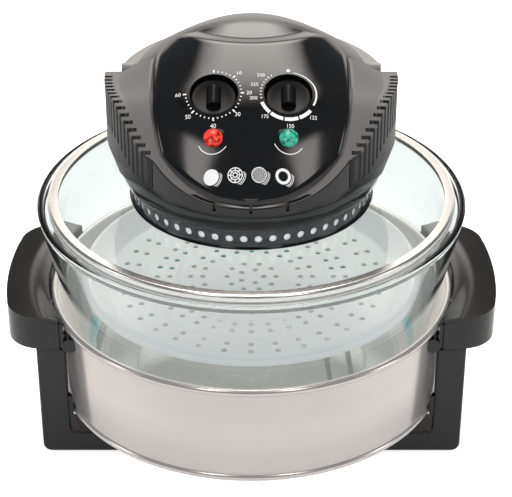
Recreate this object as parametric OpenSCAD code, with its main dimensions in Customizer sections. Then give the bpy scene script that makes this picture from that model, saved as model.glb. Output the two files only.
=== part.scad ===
// Halogen oven: a glass bowl in a steel pan on a stand, with a lift-off lid that
// carries the lamp, the fan and the controls. Millimetres, Z up, table at Z = 0,
// front towards -Y, origin under the middle of the bowl.

/* [Stand] */
// Half width of the stand, from the middle to the outside of an upright
stand_half = 170; // [168:1:172]
// Distance from the middle to the front face of each cross bar
stand_front = 75; // [74:0.5:76]
// Depth of the cross bars and uprights
bar_d = 26; // [24:1:28]
// Height of the cross bars without their feet
bar_h = 19; // [16:1:20]
// Thickness of the rubber feet
foot_h = 1; // [0.5:0.5:1.5]
// Height at which the handles sit on the uprights
upright_top = 101; // [99:1:103]
// Distance from the middle to the outside of a side handle
handle_half = 198; // [196:1:200]
// Top of the side handles
handle_top = 130; // [129:1:131]

/* [Pan] */
// Radius of the pan over its top bead
pan_r = 164; // [163:0.5:164]
// Top of the pan
pan_top = 123; // [122:0.5:124]
// Lowest point of the pan
pan_foot = 36; // [35:0.5:38]

/* [Bowl] */
// Outer radius of the bowl at its lip
bowl_r = 170; // [169:0.5:171]
// Top of the bowl's lip
bowl_top = 200; // [199:0.5:201]
// Thickness of the bowl's glass
glass_t = 4.6; // [4.4:0.1:4.8]
// Slope of the bowl's wall from upright, in degrees
bowl_lean = 12.5; // [12.4:0.1:12.6]

/* [Rack and tray] */
// Wire radius of the rack
wire_r = 2; // [1.8:0.1:2.2]
// Radius of the rack's ring
rack_r = 113; // [111:1:114]
// Height of the tray's flat bottom
tray_z = 120; // [119.5:0.5:121]
// Radius of the tray's flat bottom
tray_r = 116; // [115:1:117]

/* [Lid] */
// Outer radius of the lid's steel trim
lid_r = 161.5; // [161:0.5:162]
// Outer radius of the perforated collar
collar_r = 94.5; // [93:0.5:95]
// Holes round the collar
collar_holes = 54; // [44:1:56]

/* [Head] */
// Radius of the drum's wall
drum_r = 104; // [103.5:0.5:104.5]
// Bottom of the drum
drum_z = 222.5; // [222:0.5:223]
// Height of the drum's top edge at the front
edge_low = 244; // [243:1:245]
// Height of the drum's top edge over the side vents
edge_high = 300; // [298:1:301]
// Height of the control panel above its front end
panel_rise = 96; // [94:1:97]
// Half width of the control panel
panel_half = 74; // [72:1:76]
// Radius of the side vents' outline
vent_r = 113; // [112:0.5:113]
// Louvres in each side vent
louvres = 15; // [12:1:15]
// Distance of each dial and lamp from the middle
dial_x = 28; // [27:0.5:29]

/* [Hidden] */

// Facets of round shapes
$fn = 72;
// Gap that keeps neighbouring pieces from sharing a face by accident
gap = 0.3;
// Reach of a cut past the surface it opens
cut = 1;

// Stand
bar_back = stand_front - bar_d;
upright_in = 147;
bar_z = foot_h;
corner_r = 6;
handle_bottom = upright_top;
handle_d = 148;
handle_corner = 28;
handle_wall = 3.5;
pan_clear = pan_r + 1.2;
lug_x = 142;
lug_z = 110;
lug_r = 6;
lug_h = 9;
bracket_z = 46;

// Pan
bead_r = 3;
sheet = 1.2;
pan_wall_top = pan_r - bead_r;
pan_wall_low = 157.5;
low_bead_z = pan_foot + bead_r;
floor_z = 44;

// Bowl
bowl_base = 46;
bowl_corner = 21;
lean_tan = tan(bowl_lean);
function bowl_out(z) = bowl_r - lean_tan * (bowl_top - z);
bowl_corner_x = bowl_out(bowl_base) - bowl_corner * tan((90 - bowl_lean) / 2);
bowl_corner_z = bowl_base + bowl_corner;
shelf_z = 196;
shelf_in = 157;

// Rack and tray
rack_z = tray_z - wire_r - gap;
leg_r = 129;
leg_gap = 20;
leg_angles = [-55, 65, 185];
leg_end_r = norm([leg_r, leg_gap / 2]);
leg_drop = bowl_corner - glass_t - wire_r - 2 * gap;
leg_z = bowl_corner_z - sqrt(pow(leg_drop, 2) - pow(leg_end_r - bowl_corner_x, 2));
tray_lip_r = 138;
tray_lip_z = 136;
tray_t = 1;
tray_hole_r = 2.4;
collar_hole_r = 2.8;
front_notch_a = 15;
tray_rings = [[10, 5], [20, 10], [40, 20], [50, 20], [67, 32], [77, 32], [95, 32], [105, 32]];

// Lid
seal_z = shelf_z + gap;
lid_low = 199;
lid_glass_t = 4;
lid_rise = 1.5;
lid_hole = 89;
can_r = 86.5;
can_z = 197;
can_top = 221.4;
grille_z = can_z + 1.2;
lamp_r = 66;
lamp_z = 209;
lamp_tube = 4.5;
lamp_gap_angle = 22;

// Head
drum_low_r = 100;
drum_wall = 2.5;
drum_flare_z = edge_low - 10;
hood_r = drum_r - drum_wall - gap;
hood_wall = 2.5;
hood_skirt = 9;
panel_t = 4;
panel_lift = 0.6;
panel_front = -100.5;
panel_back = 34;
panel_y = -25;
panel_inset = 7;
notch_r = 75;
notch_y = 82;
crest_y = 70;
crest_run = 172;
crest_power = 0.72;
rear_y = 44;
edge_rear = 290;
edge_run = 74;
dial_y = -38.9;
lens_y = -69;
dial_tilt = 30;
lens_tilt = 40;
well_r = 18;
well_depth = 9;
cup_r = 19.6;
cup_wall = 1.6;
cup_top = -2;
knob_r = 17;
knob_disc = 3.2;
grip_r = 5.5;
grip_l = 16;
spindle_r = 3;
unit_drop = 24;
panel_run_front = 77;
panel_run_back = 60;
pin_tail = 8.6;
pin_past = 0.4;
pin_head_h = 3;
plunger_play = 0.5;
vent_y = 9;
vent_back = 14;
vent_low = 229;
louvre_first = 4;
louvre_pitch = 5.9;
louvre_w = 2.6;
louvre_h = 30;
louvre_depth = 5.5;
vent_back_wall = 1.6;
shoulder_y = 15;
shoulder_z = edge_high - 6;
shoulder_a = 8.6;
shoulder_slant = 0.8;
dome_r = 89.5;
dome_wall = 2.5;
dome_power = 2.2;
pivot_y = 22;
pivot_z = shoulder_z + 5;
pin_r = 2.5;
pin_head_r = 4.5;
running_fit = 0.05;
hoop_in = 92.3;
hoop_out = drum_r;
hoop_low = shoulder_z + 1;
hoop_h = 6;
knuckle_r = 4.5;
knuckle_in = 90.4;
knuckle_out = 100.8;
plunger_a = 40;
plunger_at = 95;
plunger_r = 1.6;
shaft_r = 3;
motor_z = 243;
fan_z = 230;

// Height of the hood's rim and of the drum's top edge at a distance y from the middle
function edge_front(y) =
    edge_low + (edge_high - edge_low)
        * sin(90 * pow(min(1, max(0, (y + drum_r) / edge_run)), 1.4));
function edge_back(y) =
    let (t = min(1, max(0, (y - rear_y) / 40)))
        (edge_rear - edge_high) * t * t * (3 - 2 * t);
function base_z(y) = edge_front(y) + edge_back(y);
function edge_z(y) = y > shoulder_y ? shoulder_z : edge_front(y);

// Louvres: slope of the vent's top edge, and the place of each one, evenly spaced along that edge
function edge_slope(y) = atan(edge_front(y + 0.5) - edge_front(y - 0.5));
function louvre_y(i) = i == 0
    ? louvre_first
    : louvre_y(i - 1) - louvre_pitch * cos(edge_slope(louvre_y(i - 1)));

// Height of the control panel's ridge, and of the hood under it and behind it
function ridge_z(y) =
    edge_low - 4 + panel_rise
        * pow(max(0, 1 - pow((crest_y - y) / crest_run, 2)), crest_power);
function hood_mid(y) =
    y < rear_y
        ? ridge_z(y) - panel_t
        : edge_rear + (ridge_z(rear_y) - panel_t - edge_rear)
            * sqrt(max(0, 1 - pow((y - rear_y) / (hood_r - rear_y), 2)));

// Height of the hood's skin at any place
function hood_z(x, y) =
    let (w = sqrt(max(1, hood_r * hood_r - y * y)))
        let (s = min(1, abs(x) / w))
            base_z(y) + max(0, hood_mid(y) - base_z(y)) * (1 - pow(s, dome_power));

// Half width of the control panel at a distance y from the middle
function panel_w(y) = min(
    (hood_r - panel_inset) * sqrt(max(0.0001, 1 - pow(y / (hood_r - 0.4), 2))),
    panel_half * pow(max(0, 1 - (y < panel_y
        ? pow((panel_y - y) / panel_run_front, 2.5)
        : pow((y - panel_y) / panel_run_back, 8))), 1 / 3));

// Points on an arc about [cx, cy]
function arc(cx, cy, r, a0, a1, n) =
    [for (i = [0:n]) let (a = a0 + (a1 - a0) * i / n) [cx + r * cos(a), cy + r * sin(a)]];

// Rounded rectangle about the middle
module rounded_rect(w, d, r) {
    union() {
        square([w - 2 * r, d], center = true);
        square([w, d - 2 * r], center = true);
        for (x = [-1, 1], y = [-1, 1])
            translate([x * (w / 2 - r), y * (d / 2 - r)])
                circle(r, $fn = 32);
    }
}

// Ring of round wire about the Z axis
module wire_ring(r, wire) {
    rotate_extrude()
        translate([r, 0])
            circle(wire, $fn = 24);
}

// Straight round rod between two points
module rod(p, q, r) {
    v = q - p;
    translate(p)
        rotate([0, acos(v.z / norm(v)), atan2(v.y, v.x)])
            cylinder(r = r, h = norm(v), $fn = 24);
}

// Flat ring about the Z axis
module washer(r_out, r_in, h) {
    difference() {
        cylinder(r = r_out, h = h);
        translate([0, 0, -cut])
            cylinder(r = r_in, h = h + 2 * cut);
    }
}

// Places its children on the panel with +Z pointing out of it
module on_panel(x, y, tilt) {
    translate([x, y, hood_z(x, y) + panel_t + panel_lift])
        rotate([tilt, 0, 0])
            children();
}

// One U frame of the stand: a cross bar and two uprights
module frame_shape() {
    difference() {
        union() {
            translate([0, -bar_back, bar_z])
                rotate([90, 0, 0])
                    linear_extrude(bar_d)
                        translate([0, bar_h / 2])
                            rounded_rect(2 * stand_half, bar_h, corner_r);
            for (side = [-1, 1])
                translate([side * (stand_half + upright_in) / 2, -(bar_back + bar_d / 2), bar_z + 6])
                    linear_extrude(upright_top - bar_z - 6)
                        rounded_rect(stand_half - upright_in, bar_d, 5);
        }
        translate([0, 0, bar_z + bar_h])
            cylinder(r = pan_r - 1.4, h = upright_top, $fn = 360);
    }
}

module front_frame() {
    color("#151516")
        frame_shape();
}

module rear_frame() {
    color("#151516")
        mirror([0, 1, 0])
            frame_shape();
}

// Outline of the right side handle, seen from above
module handle_plan(inset) {
    difference() {
        intersection() {
            translate([handle_half - 45, 0])
                rounded_rect(90 - 2 * inset, handle_d - 2 * inset, handle_corner - inset);
            translate([handle_half - 300, 0])
                circle(300 - inset, $fn = 180);
        }
        circle(pan_clear + inset, $fn = 144);
    }
}

// Side handle: a hollow grip, open below, over the tops of two uprights
module handle_shape() {
    difference() {
        translate([0, 0, handle_bottom])
            linear_extrude(handle_top - handle_bottom)
                handle_plan(0);
        translate([0, 0, handle_bottom - cut])
            linear_extrude(handle_top - handle_bottom - handle_wall + cut)
                intersection() {
                    handle_plan(handle_wall);
                    square([2 * handle_half, 2 * (bar_back - 2)], center = true);
                }
        for (y = [-1, 1])
            translate([(stand_half + upright_in) / 2 + 4, y * (bar_back + bar_d / 2), handle_bottom - cut])
                cylinder(r = 2.2, h = 16, $fn = 24);
    }
}

module left_handle() {
    color("#1c1c1e")
        mirror([1, 0, 0])
            handle_shape();
}

module right_handle() {
    color("#1c1c1e")
        handle_shape();
}

// Screws that come up inside the uprights into the handles
module handle_screws() {
    color("#b8bcc0")
        for (x = [-1, 1], y = [-1, 1])
            translate([x * ((stand_half + upright_in) / 2 + 4), y * (bar_back + bar_d / 2), handle_bottom])
                cylinder(r = 2, h = 14, $fn = 24);
}

// Lugs that tie the pan's wall to the front of the uprights, beside the handles
module rim_lugs() {
    color("#242426")
        for (x = [-1, 1], y = [-1, 1])
            difference() {
                translate([x * lug_x, y * (stand_front + gap + lug_h / 2), lug_z])
                    rotate([90, 0, 0])
                        cylinder(r = lug_r, h = lug_h, center = true, $fn = 40);
                cylinder(r = pan_wall_top + 1, h = handle_top, $fn = 720);
            }
}

// Clips under the uprights' inner sides that hold the pan's bottom bead
module pan_brackets() {
    color("#242426")
        for (x = [-1, 1], y = [-1, 1])
            difference() {
                translate([x * 143, y * 68, bracket_z])
                    cube([16, 12, 18], center = true);
                cylinder(r = pan_r - 2.6, h = handle_top, $fn = 720);
                for (side = [-1, 1])
                    translate([side * 200, 0, bracket_z])
                        cube([2 * (200 - upright_in), 2 * stand_front + bar_d, 40], center = true);
            }
}

// Flat pads under the cross bars
module rubber_feet() {
    color("#303032")
        for (x = [-1, 1], y = [-1, 1])
            translate([x * 140, y * (bar_back + bar_d / 2), 0])
                cylinder(r = 9, h = foot_h, $fn = 48);
}

// Spun steel pan: beads at both ends of the wall, stepped rings in the floor
module steel_pan() {
    color("#c9c7c4")
        rotate_extrude($fn = 144)
            union() {
                polygon([
                    [pan_wall_low - sheet, low_bead_z],
                    [pan_wall_low, low_bead_z],
                    [pan_wall_top + sheet / 2, pan_top - bead_r],
                    [pan_wall_top - sheet / 2, pan_top - bead_r]
                ]);
                translate([pan_wall_top, pan_top - bead_r])
                    circle(bead_r, $fn = 32);
                translate([pan_wall_low, low_bead_z])
                    circle(bead_r, $fn = 32);
                translate([0, floor_z - 0.5])
                    square([pan_wall_low - sheet / 2, sheet]);
                for (r = [30, 60, 90])
                    translate([r, floor_z - 0.5])
                        square([6, 2]);
            }
}

// Wall and floor of the bowl as half a section
function bowl_profile() = concat(
    [[0, bowl_base]],
    arc(bowl_corner_x, bowl_corner_z, bowl_corner, -90, -bowl_lean, 8),
    arc(bowl_r - 2, bowl_top - 2, 2, 0, 90, 4),
    arc(bowl_r - 3, bowl_top - 2, 2, 90, 180, 4),
    [[bowl_r - 5.4, shelf_z], [shelf_in, shelf_z], [shelf_in, shelf_z - 2]],
    [[bowl_out(shelf_z - 10) - glass_t, shelf_z - 10]],
    arc(bowl_corner_x, bowl_corner_z, bowl_corner - glass_t, -bowl_lean, -90, 8),
    [[0, bowl_base + glass_t]]);

module glass_bowl() {
    color("#bcd8d4", 0.4)
        rotate_extrude($fn = 144)
            polygon(bowl_profile());
}

// One U leg of the rack, in the XZ plane, from just under the ring
module rack_leg() {
    top = [rack_r, 0, rack_z - wire_r - 0.1];
    low = [leg_r, 0, leg_z];
    for (side = [-1, 1])
        translate([0, side * leg_gap / 2, 0]) {
            rod(top, low, wire_r - 0.2);
            translate(low)
                sphere(wire_r, $fn = 32);
        }
    translate(low)
        rotate([90, 0, 0])
            cylinder(r = wire_r - 0.2, h = leg_gap, center = true, $fn = 24);
}

module rack_legs() {
    color("#d4d6d8")
        for (a = leg_angles)
            rotate(a)
                rack_leg();
}

// Ring that carries the tray, welded to the tops of the legs
module wire_rack() {
    color("#d4d6d8")
        translate([0, 0, rack_z])
            wire_ring(rack_r, wire_r);
}

// Shallow tray with a perforated bottom and a turned-down lip
module baking_tray() {
    color("#cfd4d6")
        difference() {
            rotate_extrude($fn = 144)
                polygon([
                    [0, tray_z],
                    [tray_r, tray_z],
                    [132, tray_lip_z - 1.5],
                    [tray_lip_r - 0.8, tray_lip_z - 7],
                    [tray_lip_r, tray_lip_z - 6],
                    [132.5, tray_lip_z],
                    [131, tray_lip_z],
                    [tray_r - 0.5, tray_z + tray_t],
                    [0, tray_z + tray_t]
                ]);
            for (ring = tray_rings)
                for (i = [0:ring[1] - 1])
                    rotate(360 * i / ring[1])
                        translate([ring[0], 0, tray_z - cut])
                            cylinder(r = tray_hole_r, h = tray_t + 2 * cut, $fn = 16);
        }
}

// Nearly flat glass ring between the trim and the collar
module lid_glass() {
    color("#c8dedb", 0.4)
        rotate_extrude($fn = 144)
            polygon([
                [lid_hole, lid_low + lid_rise],
                [lid_r - 4, lid_low],
                [lid_r - 4, lid_low + lid_glass_t],
                [lid_hole, lid_low + lid_glass_t + lid_rise]
            ]);
}

// Folded steel band round the glass
module lid_trim_ring() {
    color("#c4c6c8")
        rotate_extrude($fn = 144)
            difference() {
                translate([lid_r - 8, lid_low - 1.4])
                    square([8, lid_glass_t + 2.7]);
                translate([lid_r - 8 - cut, lid_low - 0.2])
                    square([cut + 7, lid_glass_t + 0.4]);
            }
}

// Silicone ring under the trim
module lid_seal() {
    color("#d8d8d4")
        translate([0, 0, seal_z])
            washer(lid_r - 0.5, lid_r - 4, lid_low - 1.4 - seal_z);
}

// Perforated steel collar between the glass and the head
module vent_collar() {
    low = lid_low + lid_glass_t + lid_rise + 0.1;
    color("#b9bcbe")
        difference() {
            union() {
                translate([0, 0, low])
                    washer(collar_r + 2, lid_hole, 1);
                translate([0, 0, low])
                    washer(collar_r, collar_r - 1, drum_z - low);
                translate([0, 0, drum_z - 1])
                    washer(collar_r, lid_hole, 1);
            }
            for (i = [0:collar_holes - 1])
                rotate(360 * i / collar_holes)
                    translate([collar_r - 3, 0, (low + drum_z) / 2 - 1])
                        rotate([0, 90, 0])
                            cylinder(r = collar_hole_r, h = 6, $fn = 20);
        }
}

// Steel can that holds the lamp and the fan above the food
module heater_can() {
    color("#bfc2c4")
        difference() {
            union() {
                translate([0, 0, can_z])
                    washer(can_r, can_r - 1, can_top - can_z);
                translate([0, 0, can_top - 1])
                    cylinder(r = can_r, h = 1);
                translate([0, 0, lid_low + 0.1])
                    washer(can_r + 5, can_r - 1, 1);
            }
            cylinder(r = 8, h = can_top + cut);
            translate([26, -76, can_top - 3])
                cylinder(r = 2.5, h = 6, $fn = 24);
        }
}

// Welded wire grille under the lamp
module guard_grille() {
    color("#d0d2d4")
        translate([0, 0, grille_z]) {
            for (r = [14, 28, 42, 56, 70, 84])
                wire_ring(r, 1);
            for (a = [11:45:326])
                rotate(a)
                    rod([14, 0, 1.3], [84, 0, 1.3], 0.9);
        }
}

// Ring lamp of the heater
module halogen_lamp() {
    color("#f2ead8", 0.7)
        translate([0, 0, lamp_z])
            rotate(90 + lamp_gap_angle)
                rotate_extrude(angle = 360 - 2 * lamp_gap_angle)
                    translate([lamp_r, 0])
                        circle(lamp_tube, $fn = 32);
}

// Ceramic blocks at the two ends of the lamp
module lamp_holders() {
    color("#f0efe8")
        for (side = [-1, 1])
            rotate(90 + side * (lamp_gap_angle - 6.5))
                translate([lamp_r, 0, (lamp_z - 6 + can_top - 1) / 2])
                    cube([14, 14, can_top - 1 - lamp_z + 6], center = true);
}

// Copper bulb of the thermostat and its fine tube
module thermostat_bulb() {
    color("#b87b4b") {
        translate([-20, -76, can_top - 6])
            rotate([0, 90, 0])
                cylinder(r = 3, h = 46, $fn = 32);
        translate([26, -76, can_top - 6])
            cylinder(r = 1.2, h = 26, $fn = 24);
    }
}

// Everything below the drum's top edge
module below_edge() {
    reach = 2 * drum_r;
    rotate([90, 0, 90])
        linear_extrude(2 * reach, center = true)
            polygon(concat(
                [[-reach, drum_z - 20]],
                [[-reach, edge_low]],
                [for (y = [-drum_r:7:shoulder_y]) [y, edge_z(y)]],
                [[shoulder_y, edge_high], [shoulder_y, shoulder_z]],
                [[reach, shoulder_z], [reach, drum_z - 20]]));
}

// Plastic drum: floor ring, flared wall, three notches in the front edge
module head_drum() {
    color("#0f0f10")
        difference() {
            intersection() {
                rotate_extrude($fn = 144)
                    polygon([
                        [drum_low_r - 12, drum_z],
                        [drum_low_r, drum_z],
                        [drum_r, drum_flare_z],
                        [drum_r, edge_high + 2],
                        [drum_r - drum_wall, edge_high + 2],
                        [drum_r - drum_wall, drum_flare_z],
                        [drum_low_r - drum_wall, drum_z + 2],
                        [drum_low_r - 12, drum_z + 2]
                    ]);
                below_edge();
            }
            for (a = [-front_notch_a, 0, front_notch_a])
                rotate(a)
                    translate([-1.2, -drum_r - cut, edge_z(-drum_r) - 4])
                        cube([2.4, 6, 12]);
            translate([-15, drum_r - 12, 240])
                cube([30, 24, 22]);
        }
}

// Insulated steel plate over the floor ring
module heat_shield() {
    color("#aeb0b2")
        translate([0, 0, drum_z + 2])
            difference() {
                cylinder(r = drum_low_r - drum_wall - 1, h = 1.5);
                translate([0, 0, -cut])
                    cylinder(r = 8, h = 4);
                translate([26, -76, -cut])
                    cylinder(r = 2.5, h = 4, $fn = 24);
                for (a = [15:30:345])
                    rotate(a)
                        translate([55, -4, -cut])
                            cube([22, 8, 4]);
            }
}

// Rings of points of the hood's two skins, joined by its skirt
hood_inner = hood_r - hood_wall;
hood_drop = 3;
hood_half = concat(
    [for (a = [-90:6:0]) a],
    [shoulder_a - 2 - shoulder_slant, shoulder_a - 2, shoulder_a, shoulder_a + shoulder_slant],
    [for (a = [12:6:90]) a]);
hood_angles = concat(hood_half, [for (i = [len(hood_half) - 2:-1:1]) 180 - hood_half[i]]);
hood_sides = len(hood_angles);
hood_steps = 10;
function behind(y, r, a) = y > r * sin(a) - 0.01;
function dome_ring(r, drop) =
    [for (a = hood_angles)
        let (x = r * cos(a), y = r * sin(a))
            [x, y, hood_z(x, y) - drop]];
function rim_ring(r, drop, from_a) =
    [for (a = hood_angles)
        let (x = r * cos(a), y = r * sin(a))
            [x, y, (behind(y, r, from_a) ? shoulder_z : hood_z(x, y)) - drop]];
function step_r(r, i) = r * pow(i / hood_steps, 0.8);
outer_a = shoulder_a + shoulder_slant;
inner_a = shoulder_a - 2;
hood_rings = concat(
    [for (i = [1:hood_steps]) dome_ring(step_r(dome_r, i), 0)],
    [rim_ring(dome_r + gap, 0, outer_a), rim_ring(hood_r, 0, outer_a)],
    [rim_ring(hood_r, hood_skirt, outer_a), rim_ring(hood_inner, hood_skirt, outer_a)],
    [rim_ring(hood_inner, hood_drop, inner_a)],
    [rim_ring(dome_r - dome_wall + gap, hood_drop, inner_a)],
    [for (i = [hood_steps:-1:1]) dome_ring(step_r(dome_r - dome_wall, i), hood_drop)]);
function ring_points(rings) = [for (ring = rings) each ring];
function ring_faces(count, sides) =
    [for (k = [0:count - 2], i = [0:sides - 1])
        let (j = (i + 1) % sides)
            each [[k * sides + i, (k + 1) * sides + i, k * sides + j],
                [k * sides + j, (k + 1) * sides + i, (k + 1) * sides + j]]];
function cap_faces(first, tip, sides, flip) =
    [for (i = [0:sides - 1])
        let (j = (i + 1) % sides)
            flip ? [first + j, tip, first + i] : [first + i, tip, first + j]];

module hood_shell() {
    count = len(hood_rings);
    total = count * hood_sides;
    points = concat(ring_points(hood_rings),
        [[0, 0, hood_z(0, 0)], [0, 0, hood_z(0, 0) - hood_drop]]);
    faces = concat(
        ring_faces(count, hood_sides),
        cap_faces(0, total, hood_sides, true),
        cap_faces(total - hood_sides, total + 1, hood_sides, false));
    polyhedron(points, faces);
}

// Domed hood inside the drum's top edge, with a shoulder for the folded handle
module hood() {
    color("#3a3735")
        difference() {
            hood_shell();
            for (side = [-1, 1]) {
                on_panel(side * dial_x, dial_y, dial_tilt)
                    cylinder(r = cup_r + gap, h = 30, center = true, $fn = 40);
                on_panel(side * dial_x, lens_y, lens_tilt)
                    cylinder(r = 5.5, h = 30, center = true, $fn = 20);
                translate([side * dome_r, pivot_y, pivot_z])
                    rotate([0, 90, 0])
                        cylinder(r = pin_r + running_fit, h = 16, center = true, $fn = 20);
            }
            rotate(plunger_a)
                translate([plunger_at, 0, shoulder_z - 10])
                    cylinder(r = plunger_r + gap, h = 12, $fn = 20);
        }
}

// Side vent: a raised cheek on the drum, cut by a row of louvres
module vent_shape() {
    difference() {
        intersection() {
            translate([0, vent_y, vent_low])
                cylinder(r1 = vent_r - 7, r2 = vent_r, h = 22, $fn = 144);
            below_edge();
            translate([0, -drum_r, 0])
                cube([2 * drum_r, drum_r + vent_back, 2 * edge_high]);
        }
        cylinder(r = drum_r + gap, h = 2 * edge_high, $fn = 144);
    }
}

module vent_upper() {
    difference() {
        intersection() {
            translate([0, vent_y, vent_low + 22])
                cylinder(r = vent_r, h = 60, $fn = 144);
            below_edge();
            translate([0, -drum_r, 0])
                cube([2 * drum_r, drum_r + vent_back, 2 * edge_high]);
        }
        cylinder(r = drum_r + gap, h = 2 * edge_high, $fn = 144);
    }
}

module side_vent() {
    difference() {
        union() {
            vent_shape();
            vent_upper();
        }
        translate([0, -2 * drum_r - 74, 0])
            cube([2 * drum_r, 2 * drum_r, 2 * edge_high]);
        for (i = [0:louvres - 1]) {
            y = louvre_y(i);
            w = louvre_w * cos(edge_slope(y));
            x = sqrt(pow(vent_r, 2) - pow(y - vent_y, 2));
            difference() {
                translate([x - louvre_depth, y - w / 2, edge_z(y) - louvre_h])
                    cube([20, w, 60]);
                cylinder(r = drum_r + vent_back_wall, h = 2 * edge_high, $fn = 144);
            }
        }
    }
}

module right_side_vent() {
    color("#1a1a1b")
        side_vent();
}

module left_side_vent() {
    color("#1a1a1b")
        mirror([1, 0, 0])
            side_vent();
}

// Grid of the control panel's skin: columns across, rows from front to back
panel_cols = 16;
panel_rows = 22;
function panel_point(c, r, top) =
    let (t = 2 * c / panel_cols - 1)
        let (y = panel_front + (panel_back - panel_front) * r / panel_rows)
            let (x = t * panel_w(y))
                [x, y, hood_z(x, y) + panel_lift
                    + (top ? panel_t * (1 - 0.45 * pow(abs(t), 6)) : 0)];
function panel_layer(top) =
    [for (r = [0:panel_rows], c = [0:panel_cols]) panel_point(c, r, top)];
function grid_faces(first, flip) =
    [for (r = [0:panel_rows - 1], c = [0:panel_cols - 1])
        let (a = first + r * (panel_cols + 1) + c)
            let (b = a + 1, d = a + panel_cols + 1)
                each flip ? [[a, b, d], [b, d + 1, d]] : [[a, d, b], [b, d, d + 1]]];
function panel_border() = concat(
    [for (c = [0:panel_cols - 1]) c],
    [for (r = [0:panel_rows - 1]) r * (panel_cols + 1) + panel_cols],
    [for (c = [panel_cols:-1:1]) panel_rows * (panel_cols + 1) + c],
    [for (r = [panel_rows:-1:1]) r * (panel_cols + 1)]);

module panel_slab() {
    layer = (panel_cols + 1) * (panel_rows + 1);
    border = panel_border();
    polyhedron(
        concat(panel_layer(true), panel_layer(false)),
        concat(
            grid_faces(0, false),
            grid_faces(layer, true),
            [for (i = [0:len(border) - 1])
                let (a = border[i], b = border[(i + 1) % len(border)])
                    each [[a, b, a + layer], [b, b + layer, a + layer]]]));
}

// Raised glossy panel with deep wells for the dials and seats for the lenses
module control_panel() {
    color("#070708")
        difference() {
            union() {
                panel_slab();
                for (side = [-1, 1])
                    on_panel(side * dial_x, dial_y, dial_tilt)
                        translate([0, 0, -well_depth - cup_wall])
                            cylinder(r = cup_r, h = well_depth + cup_wall + cup_top, $fn = 48);
            }
            translate([0, notch_y, 0])
                cylinder(r = notch_r, h = 2 * edge_high, $fn = 60);
            for (side = [-1, 1]) {
                on_panel(side * dial_x, dial_y, dial_tilt) {
                    translate([0, 0, -well_depth])
                        cylinder(r = well_r, h = 30, $fn = 48);
                    cylinder(r = 4, h = 40, center = true, $fn = 24);
                }
                on_panel(side * dial_x, lens_y, lens_tilt)
                    cylinder(r = 7.3, h = 24, center = true, $fn = 32);
            }
        }
}

// Domed indicator lens, snapped into the panel
module lens() {
    translate([0, 0, -3])
        cylinder(r = 7, h = 4, $fn = 48);
    translate([0, 0, 1])
        cylinder(r1 = 7, r2 = 4, h = 2.4, $fn = 48);
}

module red_lens() {
    color("#c81e1e", 0.8)
        on_panel(-dial_x, lens_y, lens_tilt)
            lens();
}

module green_lens() {
    color("#12806a", 0.8)
        on_panel(dial_x, lens_y, lens_tilt)
            lens();
}

// Neon bulbs behind the lenses
module indicator_bulbs() {
    color("#e8b080", 0.8)
        for (side = [-1, 1])
            on_panel(side * dial_x, lens_y, lens_tilt)
                translate([0, 0, -17])
                    cylinder(r = 3.2, h = 13.5, $fn = 24);
}

// Clockwork timer behind the left dial
module timer_unit() {
    color("#c9b98a")
        on_panel(-dial_x, dial_y, dial_tilt)
            translate([0, 0, -unit_drop])
                difference() {
                    cube([42, 40, 24], center = true);
                    cylinder(r = spindle_r + running_fit, h = 40, center = true);
                }
}

// Capillary thermostat behind the right dial
module thermostat_unit() {
    color("#b9bcbe")
        on_panel(dial_x, dial_y, dial_tilt)
            translate([0, 0, -unit_drop])
                difference() {
                    cylinder(r = 19, h = 22, center = true);
                    cylinder(r = spindle_r + running_fit, h = 40, center = true);
                }
}

// Spindle that runs from a dial into its unit
spindle_in = 2;

module spindle() {
    translate([0, 0, -unit_drop - 8])
        cylinder(r = spindle_r, h = unit_drop + 8 - well_depth + gap + spindle_in);
}

module timer_spindle() {
    color("#c0c2c4")
        on_panel(-dial_x, dial_y, dial_tilt)
            spindle();
}

module thermostat_spindle() {
    color("#c0c2c4")
        on_panel(dial_x, dial_y, dial_tilt)
            spindle();
}

// Dial with a raised grip across its middle
module knob() {
    translate([0, 0, -well_depth + gap])
        difference() {
            union() {
                cylinder(r = knob_r, h = knob_disc);
                intersection() {
                    translate([0, 0, knob_disc])
                        rotate([90, 0, 0])
                            cylinder(r = grip_r, h = grip_l, center = true, $fn = 40);
                    translate([-knob_r, -knob_r, knob_disc - 1])
                        cube([2 * knob_r, 2 * knob_r, grip_r + 2]);
                }
            }
            translate([0, 0, -cut])
                cylinder(r = spindle_r + running_fit, h = cut + spindle_in + 0.1);
        }
}

module timer_knob() {
    color("#111112")
        on_panel(-dial_x, dial_y, dial_tilt)
            knob();
}

module thermostat_knob() {
    color("#111112")
        on_panel(dial_x, dial_y, dial_tilt)
            knob();
}

// Laminated stack of the fan motor
module motor_stator() {
    color("#8a8c90")
        translate([0, 8, motor_z + 9])
            difference() {
                cube([62, 48, 18], center = true);
                translate([0, -8, 0])
                    cylinder(r = 14.5, h = 20, center = true);
            }
}

// Bridges over and under the rotor that hold its bearings
module motor_brackets() {
    color("#c0c4c8")
        for (z = [motor_z - 3, motor_z + 18])
            translate([0, 0, z])
                difference() {
                    translate([-26, -8, 0])
                        cube([52, 16, 3]);
                    translate([0, 0, -cut])
                        cylinder(r = shaft_r + running_fit, h = 3 + 2 * cut);
                }
}

// Bridge over the cooling fan that carries the motor
module motor_bridge() {
    foot = drum_z + 3.5;
    top = motor_z - 3;
    color("#a4a6a8")
        difference() {
            translate([-60, -9, foot])
                cube([120, 18, top - foot]);
            translate([-58, -9 - cut, foot - cut])
                cube([116, 18 + 2 * cut, top - foot - 2 + cut]);
            translate([0, 0, foot])
                cylinder(r = 6, h = 30, $fn = 32);
        }
}

// Shaft of the fan motor, through the heat shield into the can
module motor_shaft() {
    color("#c8cacc")
        translate([0, 0, 200.5])
            cylinder(r = shaft_r, h = motor_z + 25 - 200.5);
}

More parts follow.
